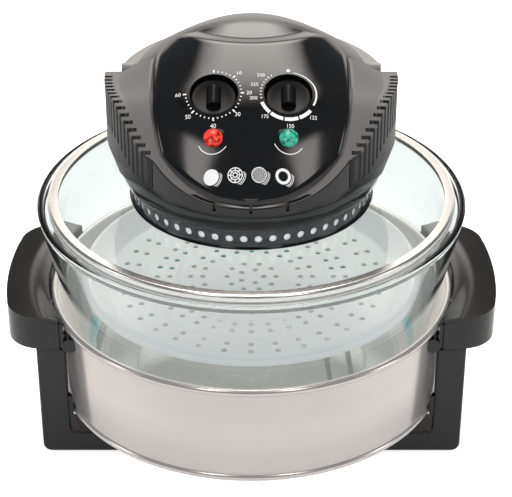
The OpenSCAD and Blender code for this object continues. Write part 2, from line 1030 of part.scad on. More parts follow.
module motor_rotor() {
    color("#9a9ca0")
        translate([0, 0, motor_z + 1])
            washer(14, shaft_r, 16);
}

// Blade ring round a hub on the shaft
module fan(hub, r, h, blades) {
    washer(hub, shaft_r, h);
    for (i = [0:blades - 1])
        rotate(360 * i / blades)
            translate([hub - 1, 0, h / 2])
                rotate([35, 0, 0])
                    translate([0, -h * 0.7, -0.6])
                        cube([r - hub, 1.4 * h, 1.2]);
}

// Plastic fan that draws cooling air through the side vents
module cooling_fan() {
    color("#e4e2da")
        translate([0, 0, fan_z])
            fan(7, 52, 6, 7);
}

// Steel fan that drives hot air round the bowl
module convection_fan() {
    color("#c0c2c4")
        translate([0, 0, 204])
            fan(9, 50, 8, 6);
}

module fan_nut() {
    color("#d8c48a")
        translate([0, 0, 201])
            washer(5.5, shaft_r, 2.6);
}

// Micro switch under the shoulder, held closed by the folded carrying handle
switch_top = shoulder_z - hood_drop - gap;
switch_h = 15;
switch_w = 10;
stroke_hole = 5;

module safety_switch() {
    color("#2a3550")
        rotate(plunger_a)
            difference() {
                translate([plunger_at - 7, -switch_w / 2, switch_top - switch_h])
                    cube([10, switch_w, switch_h]);
                translate([plunger_at, 0, switch_top - stroke_hole])
                    cylinder(r = plunger_r + gap, h = stroke_hole + cut, $fn = 32);
            }
}

// Button between the handle's underside and the switch
module switch_plunger() {
    foot = switch_top - stroke_hole + gap;
    color("#e8e6e0")
        rotate(plunger_a)
            translate([plunger_at, 0, foot])
                cylinder(r = plunger_r, h = hoop_low - plunger_play - foot, $fn = 32);
}

module thermal_fuse() {
    color("#e8e4d8")
        translate([-40, 62, drum_z + 6.6])
            rotate([0, 90, 0])
                cylinder(r = 3, h = 24, $fn = 24);
}

module terminal_block() {
    color("#ece8da")
        for (i = [0:2])
            translate([26 + 11 * i, 54, drum_z + 3.6])
                difference() {
                    cube([10, 20, 14]);
                    translate([5, -cut, 7])
                        rotate([-90, 0, 0])
                            cylinder(r = 2, h = 22 + cut, $fn = 24);
                }
}

// Socket for the mains lead in the back of the drum
module power_inlet() {
    color("#1c1c1e")
        translate([-14.7, drum_r - 22, 240.3])
            difference() {
                cube([29.4, 21, 21.4]);
                translate([2, 6, 2])
                    cube([25.4, 21, 17.4]);
            }
}

module inlet_pins() {
    color("#d0ccc0")
        for (x = [-7, 0, 7])
            translate([x - 1, drum_r - 16, x == 0 ? 253 : 247])
                cube([2, 11, 4]);
}

// Headed pins through the dome's wall that carry the folding handle
module pivot_pins() {
    color("#c8cacc")
        for (side = [0, 180])
            translate([0, pivot_y, pivot_z])
                rotate([0, 90, side]) {
                    translate([0, 0, knuckle_in - pin_tail])
                        cylinder(r = pin_r, h = knuckle_out - knuckle_in + pin_tail - pin_past, $fn = 48);
                    translate([0, 0, knuckle_in - pin_tail - pin_head_h + 0.6])
                        cylinder(r = pin_head_r, h = pin_head_h, $fn = 40);
                }
}

// Screws that hold the hood and collar to the drum's floor
module head_screws() {
    color("#b8bcc0")
        for (a = [45:90:315])
            rotate(a)
                translate([91.5, 0, drum_z + 3.5])
                    cylinder(r = 3, h = 2.2, $fn = 32);
}

// Flat hoop that lies on the shoulder round the dome and folds up
module carry_handle() {
    color("#232224")
        difference() {
            union() {
                intersection() {
                    translate([0, 0, hoop_low])
                        washer(hoop_out, hoop_in, hoop_h);
                    translate([-2 * hoop_out, pivot_y, 0])
                        cube([4 * hoop_out, 2 * hoop_out, 2 * edge_high]);
                }
                for (side = [-1, 1])
                    translate([side * (knuckle_in + knuckle_out) / 2, pivot_y, pivot_z])
                        rotate([0, 90, 0])
                            cylinder(r = knuckle_r, h = knuckle_out - knuckle_in, center = true, $fn = 48);
            }
            for (side = [-1, 1])
                translate([side * (knuckle_in + knuckle_out) / 2, pivot_y, pivot_z])
                    rotate([0, 90, 0])
                        cylinder(r = pin_r + running_fit, h = 14, center = true, $fn = 48);
        }
}

front_frame();
rear_frame();
left_handle();
right_handle();
handle_screws();
rim_lugs();
pan_brackets();
rubber_feet();
steel_pan();
glass_bowl();
wire_rack();
rack_legs();
baking_tray();
lid_glass();
lid_trim_ring();
lid_seal();
vent_collar();
heater_can();
guard_grille();
halogen_lamp();
lamp_holders();
thermostat_bulb();
head_drum();
heat_shield();
hood();
left_side_vent();
right_side_vent();
control_panel();
red_lens();
green_lens();
indicator_bulbs();
timer_unit();
thermostat_unit();
motor_stator();
motor_brackets();
motor_bridge();
safety_switch();
thermal_fuse();
terminal_block();
power_inlet();
inlet_pins();
pivot_pins();
head_screws();
carry_handle();
timer_knob();
timer_spindle();
thermostat_knob();
thermostat_spindle();
motor_shaft();
motor_rotor();
cooling_fan();
convection_fan();
fan_nut();
switch_plunger();
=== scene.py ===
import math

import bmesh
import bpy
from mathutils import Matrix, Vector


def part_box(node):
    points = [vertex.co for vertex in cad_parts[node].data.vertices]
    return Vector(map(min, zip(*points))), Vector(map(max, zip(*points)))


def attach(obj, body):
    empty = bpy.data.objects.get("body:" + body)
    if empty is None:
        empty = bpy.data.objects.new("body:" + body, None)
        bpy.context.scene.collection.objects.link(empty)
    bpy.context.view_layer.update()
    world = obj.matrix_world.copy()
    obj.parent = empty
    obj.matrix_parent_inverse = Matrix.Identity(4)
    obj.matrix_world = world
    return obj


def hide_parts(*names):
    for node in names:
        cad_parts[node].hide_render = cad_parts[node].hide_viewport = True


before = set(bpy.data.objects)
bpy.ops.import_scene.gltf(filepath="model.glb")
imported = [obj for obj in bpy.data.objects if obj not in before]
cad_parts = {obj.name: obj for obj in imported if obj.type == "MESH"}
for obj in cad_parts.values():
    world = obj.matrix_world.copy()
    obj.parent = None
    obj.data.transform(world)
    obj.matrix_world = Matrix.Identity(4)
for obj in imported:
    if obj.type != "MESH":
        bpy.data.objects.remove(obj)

# %% [markdown]
# # A halogen oven, dressed round its frame
# The construction of the oven is fixed: its solids arrive as a frame that nothing here moves.
# This lesson makes the visible skins again with finer edges, and gives each part its finish.
# Sizes are in millimetres, as on a maker's drawing, and turn into metres when a piece is done.

MM = 0.001
scene = bpy.context.scene
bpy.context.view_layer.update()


def corners(node):
    """Lowest and highest corner of one of the frame's solids, in millimetres."""
    low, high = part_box(node)
    return low / MM, high / MM


# %% [markdown]
# ## The camera
# The oven was photographed from a little above, with a long lens. Its place and pitch come from
# the bowl's lip and the pan's rims: one camera alone sees all those circles as the ellipses that
# they make. The lens is worked out from a focal length counted in pixels of the picture's width.

# %% Camera at the photograph's angle
CAMERA_AT = (3.69, -1190.14, 849.97)
CAMERA_PITCH = 30.489
FOCAL_PIXELS = 1700
FRAME_PIXELS = 512
SENSOR_WIDTH = 36

camera_data = bpy.data.cameras.new("camera")
camera_data.sensor_width = SENSOR_WIDTH
camera_data.lens = FOCAL_PIXELS / FRAME_PIXELS * SENSOR_WIDTH
camera_data.clip_end = 100
camera = bpy.data.objects.new("camera", camera_data)
camera.location = Vector(CAMERA_AT) * MM
camera.rotation_euler = (math.radians(90 - CAMERA_PITCH), 0, 0)
scene.collection.objects.link(camera)
scene.camera = camera
scene.view_settings.view_transform = "Standard"
print("lens", round(camera_data.lens, 1), "mm")

# %% [markdown]
# ## Writing finishes as sums
# A finish is a chain of nodes. It could be wired by hand in the shader editor, but in a script its
# maths is easier to read as an expression. A Signal wraps a socket, and its operators add the
# Math nodes. A Finish holds one material and makes any other node from its type, its settings
# and its inputs.


# %% Signals and finishes
FINISH = "_finish"


class Signal:
    """One value that varies over a surface."""

    def __init__(self, finish, socket):
        self.finish = finish
        self.socket = socket

    def _math(self, operation, first, second):
        return self.finish.node("ShaderNodeMath", {"operation": operation}, {0: first, 1: second})

    def __add__(self, other):
        return self._math("ADD", self, other)

    def __sub__(self, other):
        return self._math("SUBTRACT", self, other)

    def __rsub__(self, other):
        return self._math("SUBTRACT", other, self)

    def __mul__(self, other):
        return self._math("MULTIPLY", self, other)

    def __gt__(self, other):
        return self._math("GREATER_THAN", self, other)

    __radd__ = __add__
    __rmul__ = __mul__


class Finish:
    """A material under construction."""

    def __init__(self, name, **constants):
        self.material = bpy.data.materials.new(name + FINISH)
        self.material.use_nodes = True
        self.tree = self.material.node_tree
        self.shader = self.tree.nodes["Principled BSDF"]
        for socket, value in constants.items():
            self.shader.inputs[socket.replace("_", " ")].default_value = value
        self.place = self.node("ShaderNodeTexCoord", output="Object")

    def node(self, kind, settings=None, inputs=None, output=0):
        """Any node, from its type, its settings and the values or signals of its inputs."""
        made = self.tree.nodes.new(kind)
        for name, value in (settings or {}).items():
            setattr(made, name, value)
        for name, value in (inputs or {}).items():
            if isinstance(value, Signal):
                self.tree.links.new(value.socket, made.inputs[name])
            else:
                made.inputs[name].default_value = value
        return Signal(self, made.outputs[output])

    def feed(self, socket, signal):
        self.tree.links.new(signal.socket, self.shader.inputs[socket])

    def speckle(self, scale, detail=2.0, roughness=0.5):
        """Noise from 0 to 1, its scale in grains to a metre."""
        noise = {"Vector": self.place, "Scale": scale, "Detail": detail, "Roughness": roughness}
        return self.node("ShaderNodeTexNoise", inputs=noise)

    def mix(self, factor, colour_a, colour_b):
        """Colour a where the factor is 0 and colour b where it is 1."""
        inputs = {0: factor, 6: colour_a, 7: colour_b}
        return self.node("ShaderNodeMix", {"data_type": "RGBA"}, inputs, output=2)

    def vector(self, operation, first, second=(0, 0, 0), output=0):
        """Vector Math on one or two vectors."""
        return self.node("ShaderNodeVectorMath", {"operation": operation},
                         {0: first, 1: second}, output)

    def along(self, axis):
        """The distance along X, Y or Z."""
        return self.node("ShaderNodeSeparateXYZ", inputs={0: self.place}, output=axis)

    def fade(self, value, start, end):
        """A soft change from 0 to 1 while a value goes from start to end."""
        span = {"Value": value, "From Min": start, "From Max": end}
        return self.node("ShaderNodeMapRange", {"interpolation_type": "SMOOTHSTEP"}, span)

    def relief(self, height, depth):
        """Fine surface relief, depth in metres."""
        bump = {"Height": height, "Distance": depth, "Strength": 1.0}
        self.feed("Normal", self.node("ShaderNodeBump", inputs=bump))


def grey(level, warmth=0.0):
    """A grey as a linear colour, a little warm or cool."""
    return (level * (1 + warmth), level, level * (1 - warmth), 1)


def shaded(colour, share):
    """The same colour, darker or lighter."""
    return [min(1, c * share) for c in colour[:3]] + [1]


WHITE = grey(1.0)

# %% [markdown]
# ## Moulded plastics
# The head and the stand are moulded. An image of plastic would need unwrapping and would blur
# close up, so noise in the object's own coordinates varies the surface. The panel and the drum
# are high gloss, where only a faint swell shows. The hood and the handles are less polished, so
# their roughness wanders from place to place as a handled surface does.


# %% Plastics
def plastic(name, colour, roughness, swell=0.00004, wander=0.05, **constants):
    """Plastic whose surface swells by a depth in metres, and whose roughness wanders."""
    finish = Finish(name, Roughness=roughness, **constants)
    cloud = finish.speckle(18, 3)
    grain = finish.speckle(420, 2)
    finish.feed("Base Color", finish.mix(cloud, colour, shaded(colour, 1.25)))
    finish.feed("Roughness", roughness - wander / 2 + wander * cloud + 0.03 * grain)
    finish.relief(0.85 * cloud + 0.15 * grain, swell)
    return finish.material


gloss_black = plastic("gloss_black", grey(0.004, -0.03), 0.09, 0.00006, 0.04)
satin_black = plastic("satin_black", grey(0.004), 0.12, 0.00006, 0.05)
grey_black = plastic("grey_black", grey(0.035, 0.05), 0.3, 0.00005, 0.06)
# The cheek grey is lighter than the black vent walls of the same moulding: painted sheen where the
# overhead light falls on the cheeks' tops.
cheek_grey_and_sheen = plastic("cheek_grey_and_sheen", grey(0.115, 0.05), 0.5, 0.00003, 0.06)
knob_black = plastic("knob_black", grey(0.005), 0.3, 0.00005, 0.06, Specular_IOR_Level=0.22)
# The hoop's light grey is partly its own and partly a painted sheen of the bright backdrop on its flat
# top.
hoop_grey_and_sheen = plastic("hoop_grey_and_sheen", grey(0.2, 0.05), 0.34, 0.00005, 0.06)
vent_black = plastic("vent_black", grey(0.006), 0.42, 0.00008, 0.1)
dark_rubber = plastic("dark_rubber", grey(0.03), 0.75, 0.0001, 0.1)
silicone = plastic("silicone", grey(0.62, 0.02), 0.5, 0.00005, 0.1)
ivory_plastic = plastic("ivory_plastic", (0.72, 0.68, 0.56, 1), 0.4, 0.00005, 0.1)
blue_plastic = plastic("blue_plastic", (0.03, 0.05, 0.12, 1), 0.35, 0.00005, 0.1)
white_print = plastic("white_print", grey(0.8), 0.45, 0.00001, 0.05)
print(len(bpy.data.materials), "finishes moulded")

# %% [markdown]
# ## Metals
# Spun and pressed steel keeps the marks of its making: rings of fine brushing round the axis on
# the pan, and a faint haze of handling. The rings are noise read along one line, the radius from
# the axis, which comes from the object's own coordinates with their height taken out. Inside the
# pan the light bounces from wall to wall. So the faces that look towards the axis, where normal
# and place point against each other, can be less of a mirror there and glow a little: a painted
# glow that stands in for that bounced light.


# %% Metals
LEVEL = (1, 1, 0)
OUTSIDE_FROM = 0.01


def metal(name, colour, roughness, ring_marks=0.0, wander=0.06, depth=0.00001, metallic=1.0,
          inner=None, **constants):
    """A metal. Inner faces may be duller, and glow with painted light for what is caught between them.
    """
    finish = Finish(name, Metallic=metallic, Roughness=roughness, **constants)
    if inner is not None:
        facing = finish.node("ShaderNodeTexCoord", output="Normal")
        level = finish.vector("MULTIPLY", facing, LEVEL)
        outside = finish.vector("DOT_PRODUCT", level, finish.place, "Value") > OUTSIDE_FROM
        finish.feed("Metallic", inner + (metallic - inner) * outside)
    cloud = finish.speckle(14, 4, roughness=0.6)
    tone = cloud
    height = finish.speckle(700, 2)
    if ring_marks:
        away = finish.vector("MULTIPLY", finish.place, LEVEL)
        radius = finish.vector("LENGTH", away, output="Value")
        rings = finish.node("ShaderNodeTexNoise", {"noise_dimensions": "1D"},
                            {"W": radius, "Scale": ring_marks, "Detail": 4.0})
        height = rings + 0.2 * height
        tone = 0.35 * cloud + 0.65 * rings
    shade = finish.mix(tone, shaded(colour, 0.7), colour)
    finish.feed("Base Color", shade)
    # Inner faces glow with their own colour: painted bounce light, not a lamp.
    if inner is not None:
        finish.feed("Emission Color", finish.mix(outside, shade, grey(0.0)))
    finish.feed("Roughness", roughness + wander * (cloud - 0.4))
    finish.relief(height, depth)
    return finish.material


# The pan's inner faces glow at this strength: painted bounce light inside the pan.
polished_steel = metal("polished_steel", (0.76, 0.71, 0.675, 1), 0.17, ring_marks=560, wander=0.05,
                       depth=0.00003, metallic=0.7, inner=0.3, Emission_Strength=0.42)
trim_steel = metal("trim_steel", (0.9, 0.88, 0.85, 1), 0.24, ring_marks=1400, wander=0.05,
                   depth=0.000006)
wire_chrome = metal("wire_chrome", (0.82, 0.82, 0.82, 1), 0.08)
dark_chrome = metal("dark_chrome", (0.07, 0.075, 0.075, 1), 0.08)
bright_can = metal("bright_can", (0.95, 0.95, 0.94, 1), 0.4, wander=0.1, metallic=0.1,
                   Emission_Color=WHITE, Emission_Strength=0.45)
# The tray's faint white glow is painted light, which keeps it pale inside the bowl.
tray_aluminium = metal("tray_aluminium", (0.97, 0.98, 0.98, 1), 0.45, ring_marks=900, wander=0.1,
                       metallic=0.25, Emission_Color=WHITE, Emission_Strength=0.13)
zinc_steel = metal("zinc_steel", (0.62, 0.63, 0.65, 1), 0.35)
laminated_steel = metal("laminated_steel", (0.35, 0.35, 0.37, 1), 0.5, wander=0.1, depth=0.00003)
copper = metal("copper", (0.72, 0.36, 0.2, 1), 0.3)
brass = metal("brass", (0.75, 0.6, 0.3, 1), 0.3)
print(len(bpy.data.materials), "finishes with the metals")

# %% [markdown]
# ## Glass and clear plastic
# The bowl and the lid are thick soda glass, which gathers to a teal line in the round of the
# bowl's foot. A volume that absorbs light could draw it, but slowly and with more noise, so the
# line is a colour between two heights in millimetres. The indicator lenses are tinted, and light
# and dark cells in their colour are painted glints in their facets. The lamp is a quartz tube.


# %% Glass
EDGE_RISE = (56, 60)
EDGE_FALL = (74, 64)


def glass(name, colour, roughness=0.0, ior=1.5, edge=None):
    """Clear glass. An edge colour, where given, tints the round at the bowl's foot."""
    finish = Finish(name, Transmission_Weight=1.0, IOR=ior, Roughness=roughness)
    smear = finish.speckle(9, 3)
    tint = finish.mix(smear, colour, shaded(colour, 1.01))
    if edge:
        height = finish.along("Z")
        rising, falling = [finish.fade(height, start * MM, end * MM)
                           for start, end in (EDGE_RISE, EDGE_FALL)]
        tint = finish.mix(rising * falling, tint, edge)
    finish.feed("Base Color", tint)
    finish.feed("Roughness", roughness + 0.02 * smear * smear)
    return finish.material


def jewel(name, dark, bright, lit):
    """Tinted plastic with light and dark cells painted in as glints in its facets, a little lit from
    behind.
    """
    finish = Finish(name, Transmission_Weight=0.4, IOR=1.45, Roughness=0.06, Emission_Strength=lit)
    cells = finish.node("ShaderNodeTexVoronoi", inputs={"Vector": finish.place, "Scale": 380},
                        output="Color")
    level = finish.node("ShaderNodeSeparateColor", inputs={0: cells})
    shade = finish.mix(level, dark, bright)
    finish.feed("Base Color", shade)
    finish.feed("Emission Color", shade)
    return finish.material


clear_glass = glass("clear_glass", (0.88, 0.92, 0.915, 1), ior=1.36, edge=(0.28, 0.72, 0.8, 1))
quartz = glass("quartz", (0.97, 0.95, 0.9, 1), 0.15)
red_lens = jewel("red_lens", (0.28, 0.0, 0.0, 1), (1, 0.1, 0.06, 1), 0.3)
green_lens = jewel("green_lens", (0.0, 0.12, 0.08, 1), (0.1, 0.62, 0.45, 1), 0.25)
ceramic = plastic("ceramic", grey(0.75, 0.02), 0.5, 0.00005, 0.1)
print(len(bpy.data.materials), "finishes in all but the stage's")

# %% [markdown]
# ## From a shape to a piece
# Every shape is drawn as a bmesh in millimetres. Ready-made primitives could be edited instead,
# but a bmesh shows each step of the making. `piece` scales it to metres, keeps real edges sharp,
# and hands it to the body of the frame that it moves with. Weighted normals keep every flat face
# flat to the eye, right up to the rounds beside it.


# %% Pieces
def piece(bm, name, body, material, stands_for=(), crease=35):
    """Make an object of a finished bmesh, riding on a body and standing for frame nodes."""
    for face in bm.faces:
        face.smooth = True
    bmesh.ops.scale(bm, vec=(MM, MM, MM), verts=bm.verts)
    mesh = bpy.data.meshes.new(name)
    bm.to_mesh(mesh)
    bm.free()
    mesh.set_sharp_from_angle(angle=math.radians(crease))
    mesh.materials.append(material)
    made = bpy.data.objects.new(name, mesh)
    flats = made.modifiers.new("flats", "WEIGHTED_NORMAL")
    flats.keep_sharp = True
    scene.collection.objects.link(made)
    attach(made, body)
    if stands_for:
        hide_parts(*stands_for)
    print(name, len(mesh.polygons), "faces")
    return made


# %% [markdown]
# ## Round parts
# Most of the oven is turned or pressed round. Such a part is drawn as half a section, whose
# corners are arcs, and spun about the axis. A lathe works the same way, and a section is easier
# to measure and to change than rings of a cylinder.


# %% Arcs and spun parts
def arc(cx, cy, r, start, end, count):
    """Points on an arc about (cx, cy), angles in degrees."""
    turns = [math.radians(start + (end - start) * i / count) for i in range(count + 1)]
    return [(cx + r * math.cos(a), cy + r * math.sin(a)) for a in turns]


def outwards(bm):
    """Turn all faces outwards."""
    bmesh.ops.recalc_face_normals(bm, faces=bm.faces)
    return bm


def spun(section, steps=180, closed=True):
    """Spin a section of (radius, height) points about the Z axis."""
    bm = bmesh.new()
    verts = [bm.verts.new((r, 0, z)) for r, z in section]
    ends = verts[1:] + verts[:1] if closed else verts[1:]
    edges = [bm.edges.new(pair) for pair in zip(verts, ends)]
    bmesh.ops.spin(bm, geom=verts + edges, axis=(0, 0, 1), angle=math.tau, steps=steps,
                   use_merge=True)
    bmesh.ops.remove_doubles(bm, verts=bm.verts, dist=0.0005)
    return outwards(bm)


# %% [markdown]
# ## Holes and joins
# A hole is a closed shape taken away. Its edges could be drawn into each mesh by hand, but then
# every move of a hole means drawing again. The cut is made by a Boolean modifier, which works on
# objects, so the shapes become objects for a moment.


# %% Holes and joins
def temporary(bm):
    """A throwaway object of a bmesh."""
    mesh = bpy.data.meshes.new("temporary")
    bm.to_mesh(mesh)
    bm.free()
    made = bpy.data.objects.new("temporary", mesh)
    scene.collection.objects.link(made)
    return made


def fused(bm, added, operation="UNION"):
    """Two closed shapes made one."""
    body, tool = temporary(bm), temporary(added)
    boolean = body.modifiers.new("cut", "BOOLEAN")
    boolean.operation, boolean.object, boolean.solver = operation, tool, "MANIFOLD"
    settled = body.evaluated_get(bpy.context.evaluated_depsgraph_get())
    result = bmesh.new()
    result.from_mesh(settled.to_mesh())
    settled.to_mesh_clear()
    for used in (body, tool):
        bpy.data.objects.remove(used)
    return result


def cut_away(bm, cutter):
    """Take the closed shape cutter out of the closed shape bm."""
    return fused(bm, cutter, "DIFFERENCE")


def joined(*shapes):
    """Several bmeshes as one."""
    whole = bmesh.new()
    for shape in shapes:
        carrier = bpy.data.meshes.new("carrier")
        shape.to_mesh(carrier)
        shape.free()
        whole.from_mesh(carrier)
        bpy.data.meshes.remove(carrier)
    return whole


def mirrored(bm):
    """The same shape on the other side of the middle."""
    bmesh.ops.scale(bm, vec=(-1, 1, 1), verts=bm.verts)
    bmesh.ops.reverse_faces(bm, faces=bm.faces)
    return bm


# %% [markdown]
# ## Slabs, rods, boxes and wires
# What isn't round is pulled out of a flat shape, and its rims are rounded, because a perfectly
# sharp edge never catches the light. A wire could be a chain of rods, but a curve with a round
# bevel follows its bends by itself.


# %% Slabs, rods, boxes and wires
def new_corners(grown):
    """The corners among what an extrusion made."""
    return [made for made in grown["geom"] if isinstance(made, bmesh.types.BMVert)]


def pulled(bm, grown, rise):
    """Pull what an extrusion made up by a rise, and turn all faces outwards."""
    bmesh.ops.translate(bm, vec=(0, 0, rise), verts=new_corners(grown))
    return outwards(bm)


def rounded(bm, edges, radius, segments=3):
    """Round some of a shape's edges."""
    bmesh.ops.bevel(bm, geom=edges, offset=radius, offset_type="OFFSET", affect="EDGES",
                    segments=segments, profile=0.5, material=-1, clamp_overlap=True)
    return bm


def extruded(outline, depth, radius, segments):
    """A flat outline in XY as a slab up to depth, with its two rims rounded."""
    bm = bmesh.new()
    face = bm.faces.new([bm.verts.new((x, y, 0)) for x, y in outline])
    pulled(bm, bmesh.ops.extrude_face_region(bm, geom=[face]), depth)
    rims = [e for e in bm.edges if abs(e.verts[0].co.z - e.verts[1].co.z) < depth / 2]
    return rounded(bm, rims, radius, segments)


def placed(bm, matrix):
    """Move and turn a shape."""
    bmesh.ops.transform(bm, matrix=matrix, verts=bm.verts)
    return bm


def turned(degrees, axis="Z"):
    return Matrix.Rotation(math.radians(degrees), 4, axis)


def moved(x, y, z):
    return Matrix.Translation((x, y, z))


def cone(foot, top, height, sides, matrix):
    """An upright cone about a place, its foot and top given as radii."""
    bm = bmesh.new()
    bmesh.ops.create_cone(bm, cap_ends=True, segments=sides, radius1=foot, radius2=top,
                          depth=height, matrix=matrix)
    return bm


def rod(radius, length, sides=24):
    """An upright round rod standing on the origin."""
    return cone(radius, radius, length, sides, moved(0, 0, length / 2))


def block(size, at):
    """A box of a size about a point."""
    bm = bmesh.new()
    bmesh.ops.create_cube(bm, size=1, matrix=moved(*at) @ Matrix.Diagonal((*size, 1)))
    return bm


def meshed(curve):
    """The mesh of a curve, or of letters."""
    holder = bpy.data.objects.new(curve.name, curve)
    mesh = bpy.data.meshes.new_from_object(holder)
    bm = bmesh.new()
    bm.from_mesh(mesh)
    bpy.data.objects.remove(holder)
    bpy.data.meshes.remove(mesh)
    return bm


def wire(paths, radius):
    """Round wire along paths; each path is (points, whether it closes)."""
    curve = bpy.data.curves.new("wire", "CURVE")
    curve.dimensions, curve.bevel_depth, curve.bevel_resolution = "3D", radius, 4
    curve.use_fill_caps = True
    for points, closes in paths:
        spline = curve.splines.new("POLY")
        spline.points.add(len(points) - 1)
        for slot, point in zip(spline.points, points):
            slot.co = (*point, 1)
        spline.use_cyclic_u = closes
    bm = meshed(curve)
    bmesh.ops.remove_doubles(bm, verts=bm.verts, dist=0.001)
    return outwards(bm)


# %% [markdown]
# ## The stand
# Two U frames of glossy plastic carry the pan. Three bars pushed together would show their seams,
# so each frame is one outline, drawn from the front with rounded corners and extruded to the
# depth of the bar. The pan's round wall is then taken out of the inner corners of the uprights,
# where they lap over it.

# %% Stand frames
frame_low, frame_high = corners("front_frame")
BAR_FRONT = frame_low.y
BAR_BACK = frame_high.y
BAR_HEIGHT = 19
BAR_TOP = frame_low.z + BAR_HEIGHT
STAND_HALF = frame_high.x
UPRIGHT_IN = 147
UPRIGHT_TOP = frame_high.z
INNER_CORNER = 4
OUTER_CORNER = 7
FRAME_ROUND = 2
pan_low, pan_high = corners("steel_pan")
PAN_R = pan_high.x
PAN_LAP = 1.4


def half_u():
    """Right half of a frame's outline, from the middle of its top line to the bottom."""
    inner = arc(UPRIGHT_IN - INNER_CORNER, BAR_TOP + INNER_CORNER, INNER_CORNER, -90, 0, 5)
    outer = arc(STAND_HALF - OUTER_CORNER, frame_low.z + OUTER_CORNER, OUTER_CORNER, 0, -90, 8)
    return inner + [(UPRIGHT_IN, UPRIGHT_TOP), (STAND_HALF, UPRIGHT_TOP)] + outer


def frame_shape():
    right = half_u()
    outline = right + [(-x, z) for x, z in reversed(right)]
    bm = extruded(outline, BAR_BACK - BAR_FRONT, FRAME_ROUND, 5)
    placed(bm, moved(0, BAR_BACK, 0) @ turned(90, "X"))
    pan_room = placed(rod(PAN_R - PAN_LAP, UPRIGHT_TOP, 180), moved(0, 0, BAR_TOP))
    return cut_away(bm, pan_room)


piece(frame_shape(), "front_bar_frame", "stand", satin_black, ["front_frame"])
rear = placed(frame_shape(), turned(180))
piece(rear, "rear_bar_frame", "stand", satin_black, ["rear_frame"])

# %% [markdown]
# ## The side handles
# Each handle is a hollow moulding. Seen from above it is bounded by the pan's circle inside and
# a shallow arc outside. An extruded plan would have a flat top, so a grid is laid over the plan,
# its rim is rolled over and its walls are drawn down. A soft crease parts the outer grip from a
# collar that dips towards the pan.

# %% Side handles
handle_low, handle_high = corners("right_handle")
HANDLE_OUT = handle_high.x
HANDLE_END = handle_high.y
HANDLE_TOP = handle_high.z
HANDLE_FOOT = handle_low.z
HANDLE_BOW = 300
HANDLE_CORNER = 28
CORNER_SET = 4
HANDLE_ROUND = 1.6
HANDLE_WALL = 3.4
PAN_CLEAR = PAN_R + 1.2
COLLAR_WIDTH = 15
COLLAR_DIP = 3.2


def smooth_step(t):
    """A soft rise from 0 to 1."""
    t = min(1.0, max(0.0, t))
    return t * t * (3 - 2 * t)


def handle_outer(y):
    """Outside of the handle at a distance along it."""
    bow = HANDLE_OUT - HANDLE_BOW + math.sqrt(HANDLE_BOW ** 2 - y * y)
    past = abs(y) - (HANDLE_END - HANDLE_CORNER)
    if past <= 0:
        return bow
    reach = math.sqrt(max(0, HANDLE_CORNER ** 2 - past ** 2))
    corner = HANDLE_OUT - HANDLE_CORNER - CORNER_SET + reach
    return min(bow, corner)


def grid(columns, rows):
    """A flat grid from -1 to 1, to be bent into a sheet."""
    bm = bmesh.new()
    bmesh.ops.create_grid(bm, x_segments=columns, y_segments=rows, size=1)
    return bm


def handle_shell():
    bm = grid(16, 56)
    for vert in bm.verts:
        across, along = (vert.co.x + 1) / 2, vert.co.y
        y = HANDLE_END * math.sin(along * math.pi / 2)
        inner = math.sqrt(PAN_CLEAR ** 2 - y * y)
        x = inner + (handle_outer(y) - inner) * across
        dip = COLLAR_DIP * (1 - smooth_step((math.hypot(x, y) - PAN_CLEAR) / COLLAR_WIDTH))
        vert.co = (x, y, HANDLE_TOP - dip)
    rim = [e for e in bm.edges if e.is_boundary]
    for vert in new_corners(bmesh.ops.extrude_edge_only(bm, edges=rim)):
        vert.co.z = HANDLE_FOOT
    outwards(bm)
    rounded(bm, rim, HANDLE_ROUND, 4)
    bmesh.ops.solidify(bm, geom=bm.faces, thickness=HANDLE_WALL)
    return outwards(bm)


piece(handle_shell(), "right_grip", "stand", satin_black, ["right_handle"])
piece(mirrored(handle_shell()), "left_grip", "stand", satin_black, ["left_handle"])

# %% [markdown]
# ## The pan
# The pan is spun from thin steel: a bead rolled at each end of the wall, and raised rings that
# stiffen the floor. A sheet thickened afterwards would pinch in the tight beads, so one closed
# section draws both faces of the sheet.

# %% Steel pan
PAN_TOP = pan_high.z
PAN_FOOT = pan_low.z
BEAD = 3.0
WALL_LOW = 157.5
FLOOR_UNDER = 43.5
FLOOR_TOP = 44.7
FLOOR_TURN = 5.3
RIB_RADII = (96, 66, 36)
RIB_WIDTH = 6
RIB_SLOPE = 1.5
RIB_TOP = 45.5


def pan_section():
    ribs = []
    for r in RIB_RADII:
        low_in, top_in = r - RIB_WIDTH - RIB_SLOPE, r - RIB_WIDTH
        ribs += [(r + RIB_SLOPE, FLOOR_TOP), (r, RIB_TOP), (top_in, RIB_TOP), (low_in, FLOOR_TOP)]
    low_bead = [(WALL_LOW - 7, FLOOR_UNDER)] + arc(WALL_LOW, PAN_FOOT + BEAD, BEAD, -170, 68, 16)
    top_bead = arc(PAN_R - BEAD, PAN_TOP - BEAD, BEAD, -75, 192, 18)
    turn = arc(WALL_LOW - 6.5, FLOOR_TOP + FLOOR_TURN, FLOOR_TURN, 0, -90, 6)
    return low_bead + top_bead + turn + ribs + [(0, FLOOR_TOP), (0, FLOOR_UNDER)]


piece(spun(pan_section(), 216), "spun_pan", "stand", polished_steel, ["steel_pan"])

# %% [markdown]
# ## The bowl
# The bowl is thick pressed glass. Its wall leans out a little, its floor meets the wall in a
# full round, and the lip carries a ledge for the lid. Glass shows its inner face as well, so the
# section is drawn all round, not thickened from one face. All its edges are fire-polished, so
# every corner of the section is an arc.

